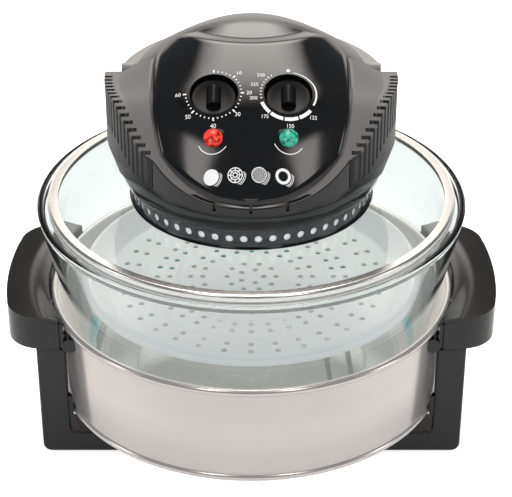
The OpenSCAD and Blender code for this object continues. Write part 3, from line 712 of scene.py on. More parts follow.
# %% Glass bowl
bowl_low, bowl_high = corners("glass_bowl")
BOWL_R = bowl_high.x
BOWL_TOP = bowl_high.z
BOWL_BASE = bowl_low.z
BOWL_GLASS = 4.6
BOWL_LEAN = 12.5
BOWL_ROUND = 21
SHELF_Z = 196
SHELF_IN = 158.5
SHELF_DROP = 3
LIP_ROUND = 2
LIP_WIDTH = 5
LIP_INNER_ROUND = 1.6
LIP_DRAFT = 0.1
LEDGE_ROUND = 1.3


def bowl_wall(z):
    """Outer radius of the bowl's wall at a height."""
    return BOWL_R - math.tan(math.radians(BOWL_LEAN)) * (BOWL_TOP - z)


def bowl_section():
    turn_x = bowl_wall(BOWL_BASE) - BOWL_ROUND * math.tan(math.radians((90 - BOWL_LEAN) / 2))
    turn_z = BOWL_BASE + BOWL_ROUND
    outer = [(0, BOWL_BASE)] + arc(turn_x, turn_z, BOWL_ROUND, -90, -BOWL_LEAN, 12)
    lip = arc(BOWL_R - LIP_ROUND, BOWL_TOP - LIP_ROUND, LIP_ROUND, -12, 90, 8)
    lip_in = BOWL_R - LIP_WIDTH
    lip += arc(lip_in + LIP_INNER_ROUND, BOWL_TOP - LIP_INNER_ROUND, LIP_INNER_ROUND, 90, 180, 6)
    ledge_out = lip_in + LIP_DRAFT - LEDGE_ROUND
    ledge = arc(ledge_out, SHELF_Z + LEDGE_ROUND, LEDGE_ROUND, 0, -90, 4)
    ledge += arc(SHELF_IN + LEDGE_ROUND, SHELF_Z - LEDGE_ROUND, LEDGE_ROUND, 90, 180, 5)
    inner = [(bowl_wall(SHELF_Z - SHELF_DROP) - BOWL_GLASS, SHELF_Z - SHELF_DROP)]
    inner += arc(turn_x, turn_z, BOWL_ROUND - BOWL_GLASS, -BOWL_LEAN, -90, 12)
    return outer + lip + ledge + inner + [(0, BOWL_BASE + BOWL_GLASS)]


piece(spun(bowl_section(), 216), "pressed_bowl", "bowl", clear_glass, ["glass_bowl"])

# %% [markdown]
# ## The rack
# A ring of chromed wire on three bent legs holds the tray near the lamp. One leg is drawn as a
# path and turned twice more about the axis, which keeps all three alike.

# %% Wire rack
leg_low, rack_high = corners("rack_legs")[0], corners("wire_rack")[1]
WIRE = 2.0
RACK_R = 113
RACK_Z = rack_high.z - WIRE
LEG_R = 129
LEG_Z = leg_low.z + WIRE
LEG_HALF = 10
LEG_BEND = 4
LEG_ANGLES = (-55, 65, 185)


def leg_path(angle):
    """One bent leg: down from the ring, across, and up again."""
    turn = turned(angle)
    path = [(RACK_R, -LEG_HALF, RACK_Z)]
    for side, start in ((-1, 180), (1, 270)):
        bend = arc(side * (LEG_HALF - LEG_BEND), LEG_Z + LEG_BEND, LEG_BEND, start, start + 90, 6)
        path += [(LEG_R, y, z) for y, z in bend]
    path += [(RACK_R, LEG_HALF, RACK_Z)]
    return [turn @ Vector(p) for p in path]


ring = [(x, y, RACK_Z) for x, y in arc(0, 0, RACK_R, 0, 360, 120)[:-1]]
rack_wires = [(ring, True)] + [(leg_path(a), False) for a in LEG_ANGLES]
piece(wire(rack_wires, WIRE), "rack_wires", "rack", wire_chrome, ["wire_rack", "rack_legs"])

# %% [markdown]
# ## The baking tray
# The tray is a shallow pressing with a turned-down lip, and its bottom is punched with rings of
# holes. A texture could paint the holes, but light falls through the real ones, so they are cut.
# The punch leaves each hole's upper edge a little rounded, so the cutter flares at the top.

# %% Baking tray
tray_low, tray_high = corners("baking_tray")
TRAY_Z = tray_low.z
TRAY_LIP_R = tray_high.x
TRAY_LIP_Z = tray_high.z
TRAY_FLOOR_R = 116
TRAY_SHEET = 1.0
TRAY_TURN = 5
TRAY_RIBS = (59, 86)
TRAY_RIB_RISE = 0.6
TRAY_LIP_MID = 132.6
TRAY_LIP_ROUND = 2.6
TRAY_LIP_INNER = 1.7
HOLE_R = 2.4
HOLE_FLARE = 0.6
HOLE_RINGS = ((10, 5), (20, 10), (40, 20), (50, 20), (67, 32), (77, 32), (95, 32), (105, 32))


def tray_section():
    top = TRAY_Z + TRAY_SHEET
    floor = [(0, top)]
    for r in TRAY_RIBS:
        floor += [(r - 2.5, top), (r - 1, top + TRAY_RIB_RISE)]
        floor += [(r + 1, top + TRAY_RIB_RISE), (r + 2.5, top)]
    wall_in = arc(TRAY_FLOOR_R - 1, top + TRAY_TURN, TRAY_TURN, -90, -45, 5)
    lip = arc(TRAY_LIP_MID, TRAY_LIP_Z - TRAY_LIP_ROUND, TRAY_LIP_ROUND, 135, 40, 8)
    edge = [(TRAY_LIP_R - 0.3, TRAY_LIP_Z - 6.4), (TRAY_LIP_R - 1.0, TRAY_LIP_Z - 6.9)]
    lip_under = arc(TRAY_LIP_MID, TRAY_LIP_Z - TRAY_LIP_ROUND, TRAY_LIP_INNER, 40, 135, 8)
    outer_turn = TRAY_TURN + TRAY_SHEET
    wall_out = arc(TRAY_FLOOR_R - 1, TRAY_Z + outer_turn, outer_turn, -45, -90, 5)
    under = [(102.5, TRAY_Z), (0, TRAY_Z)]
    return floor + wall_in + lip + edge + lip_under + wall_out + under


def punch_holes():
    """All the holes' cutters, in pairs of rings whose holes lie in line."""
    low, flare_from, high = TRAY_Z - 1, TRAY_Z + 0.9, TRAY_Z + 2.2
    section = [(0, low), (HOLE_R, low), (HOLE_R, flare_from), (HOLE_R + HOLE_FLARE, high), (0, high)]
    return joined(*[placed(spun(section, 14), turned(360 * i / count) @ moved(radius, 0, 0))
                    for radius, count in HOLE_RINGS for i in range(count)])


tray = cut_away(spun(tray_section(), 180), punch_holes())
piece(tray, "punched_tray", "tray", tray_aluminium, ["baking_tray"], crease=30)

# %% [markdown]
# ## The lid
# The lid is a nearly flat glass ring. A folded steel band closes its rim, and a perforated steel
# collar stands on it and carries the head clear of the hot glass. All three are spun. The
# collar's holes could be placed by eye, but one round punch turned about the axis is even.

# %% Lid glass, trim and collar
trim_low, trim_high = corners("lid_trim_ring")
LID_R = trim_high.x
glass_low, glass_high = corners("lid_glass")
LID_HOLE = 89
LID_LOW = glass_low.z
LID_GLASS = 4.0
LID_RISE = glass_high.z - glass_low.z - LID_GLASS
TRIM_WIDTH = 8
TRIM_ROUND = 2.2
TRIM_HEM = 0.5
TRIM_SHEET = 1.1
collar_low, collar_high = corners("vent_collar")
COLLAR_R = 94.5
COLLAR_SHEET = 1
FLANGE_WIDTH = 2
FLANGE_SHEET = 0.6
FLANGE_FILLET = 1.4
COLLAR_HOLES = 54
COLLAR_HOLE_R = 2.8
COLLAR_HOLE_DROP = 1


def lid_section():
    out, top = LID_R - 4, LID_LOW + LID_GLASS
    outer = arc(out - 1, LID_LOW + 1, 1, -90, 0, 4) + arc(out - 1, top - 1, 1, 0, 90, 4)
    inner = arc(LID_HOLE + 1, top + LID_RISE - 1, 1, 90, 180, 4)
    inner += arc(LID_HOLE + 1, LID_LOW + LID_RISE + 1, 1, 180, 270, 4)
    return outer + inner


def trim_section():
    low, high = trim_low.z, trim_high.z
    edge, turn, wall = LID_R - TRIM_WIDTH, LID_R - TRIM_ROUND, LID_R - 1
    outer = [(edge, low), (turn, low)] + arc(turn, low + TRIM_ROUND, TRIM_ROUND, -90, 0, 6)[1:]
    outer += arc(turn, high - TRIM_ROUND, TRIM_ROUND, 0, 90, 6)
    outer += arc(edge + TRIM_HEM, high - TRIM_HEM, TRIM_HEM, 90, 180, 3)
    inner = [(edge, high - TRIM_SHEET), (turn, high - TRIM_SHEET), (wall, high - TRIM_ROUND)]
    inner += [(wall, low + TRIM_ROUND), (turn, low + TRIM_SHEET), (edge, low + TRIM_SHEET)]
    return outer + inner


piece(spun(lid_section(), 216), "lid_pane", "lid", clear_glass, ["lid_glass"])
piece(spun(trim_section(), 216), "lid_band", "lid", trim_steel, ["lid_trim_ring"])


def collar_section():
    low, high, flange = collar_low.z, collar_high.z, collar_low.z + FLANGE_SHEET
    floor, ceiling, wall = low + COLLAR_SHEET, high - COLLAR_SHEET, COLLAR_R - COLLAR_SHEET
    outer = [(LID_HOLE, low), (COLLAR_R + FLANGE_WIDTH, low), (COLLAR_R + FLANGE_WIDTH, flange)]
    outer += arc(COLLAR_R + FLANGE_FILLET, flange + FLANGE_FILLET, FLANGE_FILLET, -90, -180, 5)
    outer += arc(wall, ceiling, COLLAR_SHEET, 0, 90, 5)
    inner = [(LID_HOLE, high), (LID_HOLE, ceiling), (wall, ceiling)]
    return outer + inner + [(wall, floor), (LID_HOLE, floor)]


def collar_punches():
    middle = (collar_low.z + collar_high.z) / 2 - COLLAR_HOLE_DROP
    across = moved(COLLAR_R - 4, 0, middle) @ turned(90, "Y")
    shapes = [placed(rod(COLLAR_HOLE_R, 8, 20), turned(360 * i / COLLAR_HOLES) @ across)
              for i in range(COLLAR_HOLES)]
    return joined(*shapes)


collar = cut_away(spun(collar_section(), 176), collar_punches())
piece(collar, "punched_collar", "lid", dark_chrome, ["vent_collar"], crease=30)

# %% [markdown]
# ## The heater can
# Behind the collar's holes stands the bright can that holds the lamp. It is one spun section,
# which flares under the head. The holes show as a row of light dots. A lamp behind them would
# do that too, but with noise in the picture, so the can's finish glows a little instead.

# %% Heater can
can_low, can_high = corners("heater_can")
CAN_R = 86.5
CAN_SHEET = 1
CAN_FLARE_R = 92.2
CAN_FLARE_ROUND = 2
CAN_CHAMFER = 1.5
FLARE_FROM = LID_LOW + LID_GLASS + LID_RISE + 1.6
SHAFT_HOLE = 8


def can_section():
    low, high = can_low.z, can_high.z
    under = high - CAN_SHEET
    wall = [(CAN_R - CAN_SHEET, low), (CAN_R, low), (CAN_R, FLARE_FROM)]
    flare = arc(CAN_FLARE_R - CAN_FLARE_ROUND, FLARE_FROM + CAN_FLARE_ROUND, CAN_FLARE_ROUND, -60, 20, 5)
    top = [(CAN_FLARE_R, high - CAN_CHAMFER), (CAN_FLARE_R - CAN_CHAMFER, high)]
    inside = [(SHAFT_HOLE, high), (SHAFT_HOLE, under), (CAN_R - CAN_SHEET, under)]
    return wall + flare + top + inside


piece(spun(can_section(), 144), "bright_heater_can", "lid", bright_can, ["heater_can"])

# %% [markdown]
# ## The head's surfaces
# The drum's top edge, the domed hood and the panel all follow a few curves of the distance y
# from the middle. They could be modelled by eye, but the skins have to fit the construction's
# solids, so these are the same curves as in the construction.

# %% Curves of the head
drum_low, drum_high = corners("head_drum")
DRUM_R = drum_high.x
DRUM_Z = drum_low.z
EDGE_LOW = 244
EDGE_HIGH = 300
EDGE_REAR = 290
SHOULDER_Y = 15
SHOULDER_Z = EDGE_HIGH - 6
DOME_R = 89.5
DOME_POWER = 2.2
EDGE_RUN = 74
EDGE_POWER = 1.4
REAR_Y = 44
REAR_RUN = 40
RIDGE_END = 70
RIDGE_RUN = 172
RIDGE_POWER = 0.72
DRUM_WALL = 2.5
HOOD_R = DRUM_R - DRUM_WALL - 0.3
PANEL_RISE = 96
PANEL_HALF = 74
PANEL_WIDEST_Y = -25
NOSE_RUN = 77
TAIL_RUN = 60
PANEL_INSET = 7
PANEL_THICK = 4
PANEL_LIFT = 0.6
PANEL_FRONT = -100.5
PANEL_BACK = 40
HORN_X = 54
HORN_Y = 31.5
NOTCH_Y = 82
NOTCH_R = 75
DIAL_X = 28
DIAL_Y = -38.9
DIAL_TILT = 30
LENS_Y = -69
LENS_TILT = 40
CUP_R = 19.6
CUP_WALL = 1.6


def base_z(y):
    """Height of the hood's rim."""
    rise = min(1.0, max(0.0, (y + DRUM_R) / EDGE_RUN)) ** EDGE_POWER
    front = EDGE_LOW + (EDGE_HIGH - EDGE_LOW) * math.sin(math.pi / 2 * rise)
    return front + (EDGE_REAR - EDGE_HIGH) * smooth_step((y - REAR_Y) / REAR_RUN)


def edge_z(y):
    """Height of the drum's top edge, which drops to the shoulder behind the vents."""
    return SHOULDER_Z if y > SHOULDER_Y else base_z(y)


def ridge_z(y):
    """Height of the panel's middle line."""
    share = max(0.0, 1 - ((RIDGE_END - y) / RIDGE_RUN) ** 2) ** RIDGE_POWER
    return EDGE_LOW - PANEL_THICK + PANEL_RISE * share


def hood_mid(y):
    """Height of the hood's middle line."""
    if y < REAR_Y:
        return ridge_z(y) - PANEL_THICK
    fall = math.sqrt(max(0.0, 1 - ((y - REAR_Y) / (HOOD_R - REAR_Y)) ** 2))
    return EDGE_REAR + (ridge_z(REAR_Y) - PANEL_THICK - EDGE_REAR) * fall


def hood_z(x, y):
    """Height of the hood's skin."""
    half = math.sqrt(max(1.0, HOOD_R ** 2 - y * y))
    across = min(1.0, abs(x) / half)
    return base_z(y) + max(0.0, hood_mid(y) - base_z(y)) * (1 - across ** DOME_POWER)


def panel_half_width(y):
    """Half width of the panel."""
    past = y - PANEL_WIDEST_Y
    fade = (-past / NOSE_RUN) ** 2.5 if past < 0 else (past / TAIL_RUN) ** 8
    narrow = PANEL_HALF * max(0.0, 1 - fade) ** (1 / 3) if y < HORN_Y else HORN_X
    rear_arc = HORN_X * math.sqrt(max(0.0, (PANEL_BACK - y) / (PANEL_BACK - HORN_Y)))
    room = (HOOD_R - PANEL_INSET) * math.sqrt(max(0.0001, 1 - (y / (HOOD_R - 0.4)) ** 2))
    return min(room, narrow, rear_arc)


def on_panel(x, y, tilt):
    """A place on the panel with Z pointing out of it."""
    return moved(x, y, hood_z(x, y) + PANEL_THICK + PANEL_LIFT) @ turned(tilt, "X")


def at_dial(side):
    """The left dial's place for -1, and the right dial's for 1."""
    return on_panel(side * DIAL_X, DIAL_Y, DIAL_TILT)


def at_lens(side):
    """The left lamp's place for -1, and the right lamp's for 1."""
    return on_panel(side * DIAL_X, LENS_Y, LENS_TILT)


# %% [markdown]
# ## The drum
# The drum's wall flares from its floor and ends in an edge that sweeps up from the front to the
# side vents. Cut with a curved shape, the edge would be sharp. So the wall is spun level, with a
# round on its edge, and its upper part is then stretched to the sweep. The round catches the
# light as the fine bright line that the real moulding shows.

# %% Drum
DRUM_LOW_R = 100
DRUM_BAND = EDGE_LOW - 10
DRUM_FLOOR_IN = DRUM_LOW_R - 12
DRUM_FLOOR_Z = DRUM_Z + 2
EDGE_ROUND = 0.8
ROUND_FROM = EDGE_HIGH - EDGE_ROUND
FRONT_NOTCHES = (-15, 0, 15)
NOTCH = (2.4, 5, 8)
SEAM_ANGLES = (-47, 47)
SEAM = (0.5, 1.6, 90)


def drum_section():
    inside, quarters = DRUM_R - DRUM_WALL, (0.25, 0.5, 0.75)
    outer = [(DRUM_FLOOR_IN, DRUM_Z), (DRUM_LOW_R - 1, DRUM_Z)]
    outer += arc(DRUM_LOW_R - 1, DRUM_Z + 1, 1, -90, -10, 4)[1:]
    outer += [(DRUM_LOW_R + 4 * t, DRUM_Z + (DRUM_BAND - DRUM_Z) * t) for t in quarters]
    outer += [(DRUM_R, DRUM_BAND)]
    outer += [(DRUM_R, DRUM_BAND + (EDGE_HIGH - DRUM_BAND) * t) for t in quarters]
    outer += arc(DRUM_R - EDGE_ROUND, ROUND_FROM, EDGE_ROUND, 0, 90, 4)
    inner = [(inside, EDGE_HIGH), (inside, DRUM_BAND + 2)]
    return outer + inner + [(DRUM_LOW_R - DRUM_WALL, DRUM_FLOOR_Z), (DRUM_FLOOR_IN, DRUM_FLOOR_Z)]


def drum_shape():
    """The drum, its upper part stretched to the sweep and the round of its edge kept."""
    bm = spun(drum_section(), 240)
    for vert in bm.verts:
        above = vert.co.z - DRUM_BAND
        if above > 0:
            share = min(1.0, above / (ROUND_FROM - DRUM_BAND))
            top = edge_z(vert.co.y) - EDGE_ROUND
            rest = max(0.0, vert.co.z - ROUND_FROM)
            vert.co.z = DRUM_BAND + (top - DRUM_BAND) * share + rest
    return bm


def edge_cutters():
    """Notches in the drum's front edge, and a fine seam at each side of them."""
    notches = [placed(block(NOTCH, (0, -DRUM_R + 1, EDGE_LOW)), turned(a)) for a in FRONT_NOTCHES]
    seams = [placed(block(SEAM, (0, -DRUM_R, EDGE_LOW + 10)), turned(a)) for a in SEAM_ANGLES]
    return joined(*notches, *seams)


drum = cut_away(drum_shape(), edge_cutters())
piece(drum, "gloss_drum", "lid", gloss_black, ["head_drum"], crease=50)

# %% [markdown]
# ## The hood
# The hood is the dome behind the panel. A squashed ball wouldn't follow the sweep of the edge, so
# it is a disc of rings, lifted to the height of its curves. Behind the vents its outer part drops
# to a shoulder, where the folded handle lies round the dome. The skin is set a little under the
# construction's, so that the panel and the cheeks sit proud of it.

# %% Hood
HOOD_RINGS = 28
HOOD_SKIRT = 8
HOOD_SINK = 0.5
HOOD_SHEET = 2.2
RIM_DROP = 0.6
CUP_PLAY = 0.3


def hood_shape():
    """The dome's rings, closer towards its rim, with the shoulder, the rim and a skirt."""
    section = [(DOME_R * (i / HOOD_RINGS) ** 0.8, 0) for i in range(HOOD_RINGS + 1)]
    section += [(DOME_R + 0.15, 0), (DOME_R + 4, 0), (HOOD_R - 4, 0), (HOOD_R - 0.8, 0), (HOOD_R, 0)]
    bm = spun(section, 240, closed=False)
    for vert in bm.verts:
        x, y = vert.co.x, vert.co.y
        on_shoulder = y > SHOULDER_Y and math.hypot(x, y) > DOME_R + 0.1
        vert.co.z = (SHOULDER_Z if on_shoulder else hood_z(x, y)) - HOOD_SINK
        if math.hypot(x, y) > HOOD_R - 0.1:
            vert.co.z -= RIM_DROP
    rim = [e for e in bm.edges if e.is_boundary]
    pulled(bm, bmesh.ops.extrude_edge_only(bm, edges=rim), -HOOD_SKIRT)
    if max(bm.faces, key=lambda f: f.calc_center_median().z).normal.z < 0:
        bmesh.ops.reverse_faces(bm, faces=bm.faces)
    bmesh.ops.solidify(bm, geom=bm.faces, thickness=HOOD_SHEET)
    return bm


hood = hood_shape()
for side in (-1, 1):
    cup_room = placed(rod(CUP_R + CUP_PLAY, 40, 60), moved(0, 0, -25))
    hood = cut_away(hood, placed(cup_room, at_dial(side)))
piece(hood, "domed_hood", "lid", grey_black, ["hood"], crease=40)

# %% [markdown]
# ## The cheeks over the side vents
# At each side a flat cheek runs from the panel's border over the drum's edge to the outside of
# the vent. Its outer rim is slotted where the louvres come up through it. An array of slots would
# step along a straight line, so a loop walks down the sloping edge at an even pace.

# %% Cheeks
VENT_R = 113
VENT_Y = 9
VENT_FRONT = -74
CHEEK_FRONT = -97
CHEEK_BACK = 13.8
CHEEK_LIFT = 0.25
CHEEK_SHEET = 1.3
CHEEK_GAP = 1.3
LOUVRE_FIRST = 4
LOUVRES = 15
LOUVRE_PITCH = 5.9
LOUVRE_WIDTH = 3.2
LOUVRE_DEPTH = 6.5


def vent_x(y):
    """Outside of the vent."""
    return math.sqrt(VENT_R ** 2 - (y - VENT_Y) ** 2)


def cheek_outer(y):
    """Outside of the cheek: over the vent, and in front of it over the drum's edge."""
    on_drum = math.sqrt(max(0.0, (DRUM_R - 0.3) ** 2 - y * y))
    return on_drum + (vent_x(y) + 0.2 - on_drum) * smooth_step((y - VENT_FRONT) / 4)


def cheek_shape():
    """A grid from the panel's border to the outside, rolled down at both and thickened."""
    bm = grid(40, 90)
    for vert in bm.verts:
        across = 1 - ((1 - vert.co.x) / 2) ** 1.6
        y = CHEEK_FRONT + (CHEEK_BACK - CHEEK_FRONT) * (vert.co.y + 1) / 2
        inner = panel_half_width(y) + CHEEK_GAP
        x = inner + (cheek_outer(y) - inner) * across
        near = max(0.0, 1 - min(cheek_outer(y) - x, x - inner))
        roll = 1.0 - math.sqrt(max(0.0, 1 - near ** 2))
        sink = 1 - smooth_step((y - CHEEK_FRONT) / 6)
        vert.co = (x, y, hood_z(x, y) + CHEEK_LIFT - roll - sink)
    return pulled(bm, bmesh.ops.extrude_face_region(bm, geom=bm.faces[:]), -CHEEK_SHEET)


def louvre_cutters():
    """Slots evenly spaced along the sloping edge."""
    shapes, y = [], LOUVRE_FIRST
    for _ in range(LOUVRES):
        lean = math.cos(math.atan(base_z(y + 0.5) - base_z(y - 0.5)))
        at = (vent_x(y) - LOUVRE_DEPTH + 10, y, edge_z(y))
        shapes.append(block((20, LOUVRE_WIDTH * lean, 20), at))
        y -= LOUVRE_PITCH * lean
    return joined(*shapes)


cheek = cut_away(cheek_shape(), louvre_cutters())
# The cheeks' lighter grey is painted sheen; below them the vents are the same moulding in black.
piece(cheek.copy(), "right_cheek", "lid", cheek_grey_and_sheen, crease=40)
piece(mirrored(cheek), "left_cheek", "lid", cheek_grey_and_sheen, crease=40)

# %% [markdown]
# ## The control panel
# The panel is a glossy shell that bulges out of the hood. A subdivided cage would be as soft, but
# wouldn't meet the hood all round. So a fine grid follows its outline, and its rim is rolled
# over. Behind the crest it sinks into a scoop between two horns and ends in a shallow arc. The
# wells of the dials and the seats of the lamps are cut square to the surface, with a small round
# at their lips.

# %% Control panel
PANEL_ROLL = 3.2
PANEL_DROOP = 3.4
DROOP_FROM = 36
SCOOP_RUN = 15
WELL_R = 18
WELL_DEPTH = 9
WELL_ROUND = 1.5
SEAT_R = 7.3
SEAT_ROUND = 0.6
SEAT_DEPTH = 12


def roll_down(inside):
    """How far the surface falls near its rim, a quarter round."""
    if inside >= PANEL_ROLL:
        return 0.0
    near = PANEL_ROLL - max(0.0, inside)
    return PANEL_ROLL - math.sqrt(max(0.0, PANEL_ROLL ** 2 - near ** 2))


def panel_top(x, y):
    """Height of the panel's glossy surface."""
    half = panel_half_width(y)
    before_crest = math.hypot(x, y - NOTCH_Y) - NOTCH_R
    full = smooth_step((before_crest + SCOOP_RUN) / (SCOOP_RUN + 4))
    droop = PANEL_DROOP * max(0.0, (abs(x) - DROOP_FROM) / (PANEL_HALF - DROOP_FROM)) ** 2
    rim = roll_down((half - abs(x)) * 0.9) * full
    thick = (PANEL_LIFT + PANEL_THICK - droop - rim) * full
    return hood_z(x, y) - 0.1 + max(0.1, thick)


def panel_shape():
    """A fine grid bent to the panel's surface, with a lower skin that stays over the hood."""
    bm = grid(110, 130)
    for vert in bm.verts:
        t = math.sin(vert.co.x * math.pi / 2)
        back = 1 - ((1 - vert.co.y) / 2) ** 1.3
        y = PANEL_FRONT + (PANEL_BACK - 0.2 - PANEL_FRONT) * back
        x = t * panel_half_width(y)
        vert.co = (x, y, panel_top(x, y))
    outwards(bm)
    if sum(f.normal.z for f in bm.faces) < 0:
        bmesh.ops.reverse_faces(bm, faces=bm.faces)
    top = set(new_corners(bmesh.ops.extrude_face_region(bm, geom=bm.faces[:])))
    for vert in bm.verts:
        if vert not in top:
            vert.co.z = min(vert.co.z - 0.8, hood_z(vert.co.x, vert.co.y) - 0.4)
    return outwards(bm)


def well_cutter():
    """A round well with a rounded lip, in the panel's own direction."""
    lip = arc(WELL_R + 1, 0.2 - 1, 1, 180, 90, 5)
    section = [(0, -WELL_DEPTH), (WELL_R - WELL_ROUND, -WELL_DEPTH)]
    section += arc(WELL_R - WELL_ROUND, -WELL_DEPTH + WELL_ROUND, WELL_ROUND, -90, 0, 4)
    return spun(section + lip + [(WELL_R + 3, 0.6), (WELL_R + 3, 12), (0, 12)], 72)


def seat_cutter():
    """A lamp's plain seat with a rounded lip."""
    lip = arc(SEAT_R + SEAT_ROUND, -0.5, SEAT_ROUND, 180, 90, 4)
    return spun([(0, -SEAT_DEPTH), (SEAT_R, -SEAT_DEPTH)] + lip + [(9.5, 0.3), (9.5, 8), (0, 8)], 48)


panel = panel_shape()
for side in (-1, 1):
    cup = placed(rod(CUP_R, WELL_DEPTH + CUP_WALL - 2, 72), moved(0, 0, -WELL_DEPTH - CUP_WALL))
    panel = fused(panel, placed(cup, at_dial(side)))
    panel = cut_away(panel, placed(well_cutter(), at_dial(side)))
    panel = cut_away(panel, placed(seat_cutter(), at_lens(side)))
piece(panel, "gloss_panel", "lid", gloss_black, ["control_panel"], crease=38)

# %% [markdown]
# ## The carrying handle
# A flat hoop lies on the shoulder round the dome, and each arm ends in a knuckle on its pivot
# pin. A whole ring could be cut to length, but a rounded bar that is spun only part of the way
# needs no cut and keeps clean ends.

# %% Hoop handle
hoop_low, hoop_high = corners("carry_handle")
HOOP_OUT = hoop_high.y
HOOP_IN = 92.3
HOOP_LOW = hoop_low.z + 0.5
HOOP_HIGH = HOOP_LOW + 6
HOOP_ROUND = 1.4
PIVOT_Y = 22
PIVOT_Z = (hoop_low.z + hoop_high.z) / 2
KNUCKLE_R = (hoop_high.z - hoop_low.z) / 2
KNUCKLE_IN = 90.4
KNUCKLE_LENGTH = 10.4
KNUCKLE_ROUND = 0.8


def hoop_shape():
    """A rounded bar spun part of the way round the dome, with a knuckle at each end."""
    out, low = HOOP_OUT - HOOP_ROUND, HOOP_LOW + HOOP_ROUND
    near, high = HOOP_IN + HOOP_ROUND, HOOP_HIGH - HOOP_ROUND
    section = []
    for turn, (x, z) in enumerate(((out, high), (near, high), (near, low), (out, low))):
        section += arc(x, z, HOOP_ROUND, 90 * turn, 90 * turn + 90, 4)
    first = math.degrees(math.asin(PIVOT_Y / HOOP_IN))
    bm = bmesh.new()
    face = bm.faces.new([bm.verts.new((x, 0, z)) for x, z in section])
    placed(bm, turned(first))
    bmesh.ops.spin(bm, geom=[face], axis=(0, 0, 1), angle=math.radians(180 - 2 * first), steps=96)
    outwards(bm)
    knuckle = rod(KNUCKLE_R, KNUCKLE_LENGTH, 40)
    rims = [e for e in knuckle.edges if e.verts[0].co.z == e.verts[1].co.z]
    rounded(knuckle, rims, KNUCKLE_ROUND)
    placed(knuckle, moved(KNUCKLE_IN, PIVOT_Y, PIVOT_Z) @ turned(90, "Y"))
    return joined(bm, knuckle.copy(), mirrored(knuckle))


# The hoop's light grey includes a painted sheen of the backdrop on its flat top.
piece(hoop_shape(), "folding_hoop", "handle", hoop_grey_and_sheen, ["carry_handle"])

# %% [markdown]
# ## The dials
# Each dial is a disc at the bottom of its well with a raised grip like a short roll across it.
# The disc is spun and the grip is extruded. They could be fused, but the line where they meet
# lies in shadow, so they simply stand in each other.

# %% Dials
KNOB_R = 17
KNOB_DISC = 3.2
KNOB_Z = 0.3 - WELL_DEPTH
DISH_DEPTH = 0.8
GRIP_R = 5.5
GRIP_LENGTH = 16
GRIP_ROUND = 1.0


def knob_shape():
    """A dished disc with a half round grip lying across it."""
    dish = [(KNOB_R - 4, KNOB_DISC), (KNOB_R - 6, KNOB_DISC - DISH_DEPTH), (0, KNOB_DISC - DISH_DEPTH)]
    rim = [(0, 0), (KNOB_R - 0.4, 0)] + arc(KNOB_R - 1, KNOB_DISC - 1, 1, 0, 90, 4)
    disc = placed(spun(rim + dish, 72), moved(0, 0, KNOB_Z))
    grip_section = [(-GRIP_R, -1), (GRIP_R, -1)] + arc(0, 0, GRIP_R, 0, 180, 16)
    grip = extruded(grip_section, GRIP_LENGTH, GRIP_ROUND, 4)
    placed(grip, moved(0, GRIP_LENGTH / 2, KNOB_Z + KNOB_DISC) @ turned(90, "X"))
    return joined(disc, grip)


for side, dial in ((-1, "timer"), (1, "thermostat")):
    piece(placed(knob_shape(), at_dial(side)), dial + "_dial_cap", dial + "_dial", knob_black,
          [dial + "_knob"])

# %% [markdown]
# ## The lenses
# Each lens is a low dome with facets pressed round it. A faceted ball could be squashed to it,
# but cones of ten sides, with the top one turned half a facet, are closer to a pressed lens.

# %% Lenses
LENS_R = 7
FACETS = 10


def lens_shape():
    """A round body, a crown of ten facets, and a table turned half a facet on it."""
    body = cone(LENS_R, LENS_R, 4, 40, moved(0, 0, -1))
    crown = cone(LENS_R - 0.3, LENS_R - 2, 1.6, FACETS, moved(0, 0, 1.8))
    table = cone(LENS_R - 2, 1.8, 0.9, FACETS, moved(0, 0, 3.0) @ turned(180 / FACETS))
    return joined(body, crown, table)


for side, colour, lens in ((-1, "red", red_lens), (1, "green", green_lens)):
    piece(placed(lens_shape(), at_lens(side)), colour + "_jewel", "lid", lens, [colour + "_lens"],
          crease=12)

# %% [markdown]
# ## Print
# The print could be an image on the panel, but that needs unwrapping and blurs close up. So it is
# flat shapes, drawn about a centre and laid over the panel: every corner is moved to the height
# of the glossy surface.

# %% Flat shapes for print
INK = 0.12
TICK_IN = 20.2
MAJOR_OUT = 22.8
MINOR_OUT = 21.4
DIGITS_AT = 26.6
LENS_ARC = (11.4, 12.0, 205, 325)
DISC_R = 5.6
DISC_PITCH = 17.6
DISCS_X = -2.8
DISCS_Y = -89
DISCS_TILT = 50
MINUTE_SIZE = 4.4
DEGREE_SIZE = 4.0


def sector(r_in, r_out, start, end):
    """A flat ring segment between two angles, a column of faces every four degrees."""
    bm = grid(1, max(2, int(abs(end - start) / 4) + 1))
    for vert in bm.verts:
        turn = math.radians(start + (end - start) * (vert.co.y + 1) / 2)
        radius = r_in + (r_out - r_in) * (vert.co.x + 1) / 2
        vert.co = (radius * math.cos(turn), radius * math.sin(turn), 0)
    return bm


def letters(text, size, x, y):
    """Digits about a point, as a flat mesh."""
    curve = bpy.data.curves.new(text, "FONT")
    curve.body, curve.size, curve.align_x, curve.align_y = text, size, "CENTER", "CENTER"
    return placed(meshed(curve), moved(x, y, 0))


def ring_place(radius, angle):
    return arc(0, 0, radius, angle, angle, 1)[0]


def printed(bm, x, y, tilt):
    """Lay a flat drawing over the panel, its centre at a place and leaning with the panel."""
    outwards(bm)
    top = set(new_corners(bmesh.ops.extrude_face_region(bm, geom=bm.faces[:])))
    lean = math.cos(math.radians(tilt))
    for vert in bm.verts:
        at_x, at_y = x + vert.co.x, y + vert.co.y * lean
        vert.co = (at_x, at_y, panel_top(at_x, at_y) + (INK / 2 if vert in top else -INK))
    return outwards(bm)


def ticks(outer, half, angles):
    """Short strokes round a dial, out to a radius and half as many degrees to each side."""
    return [sector(TICK_IN, outer, angle - half, angle + half) for angle in angles]

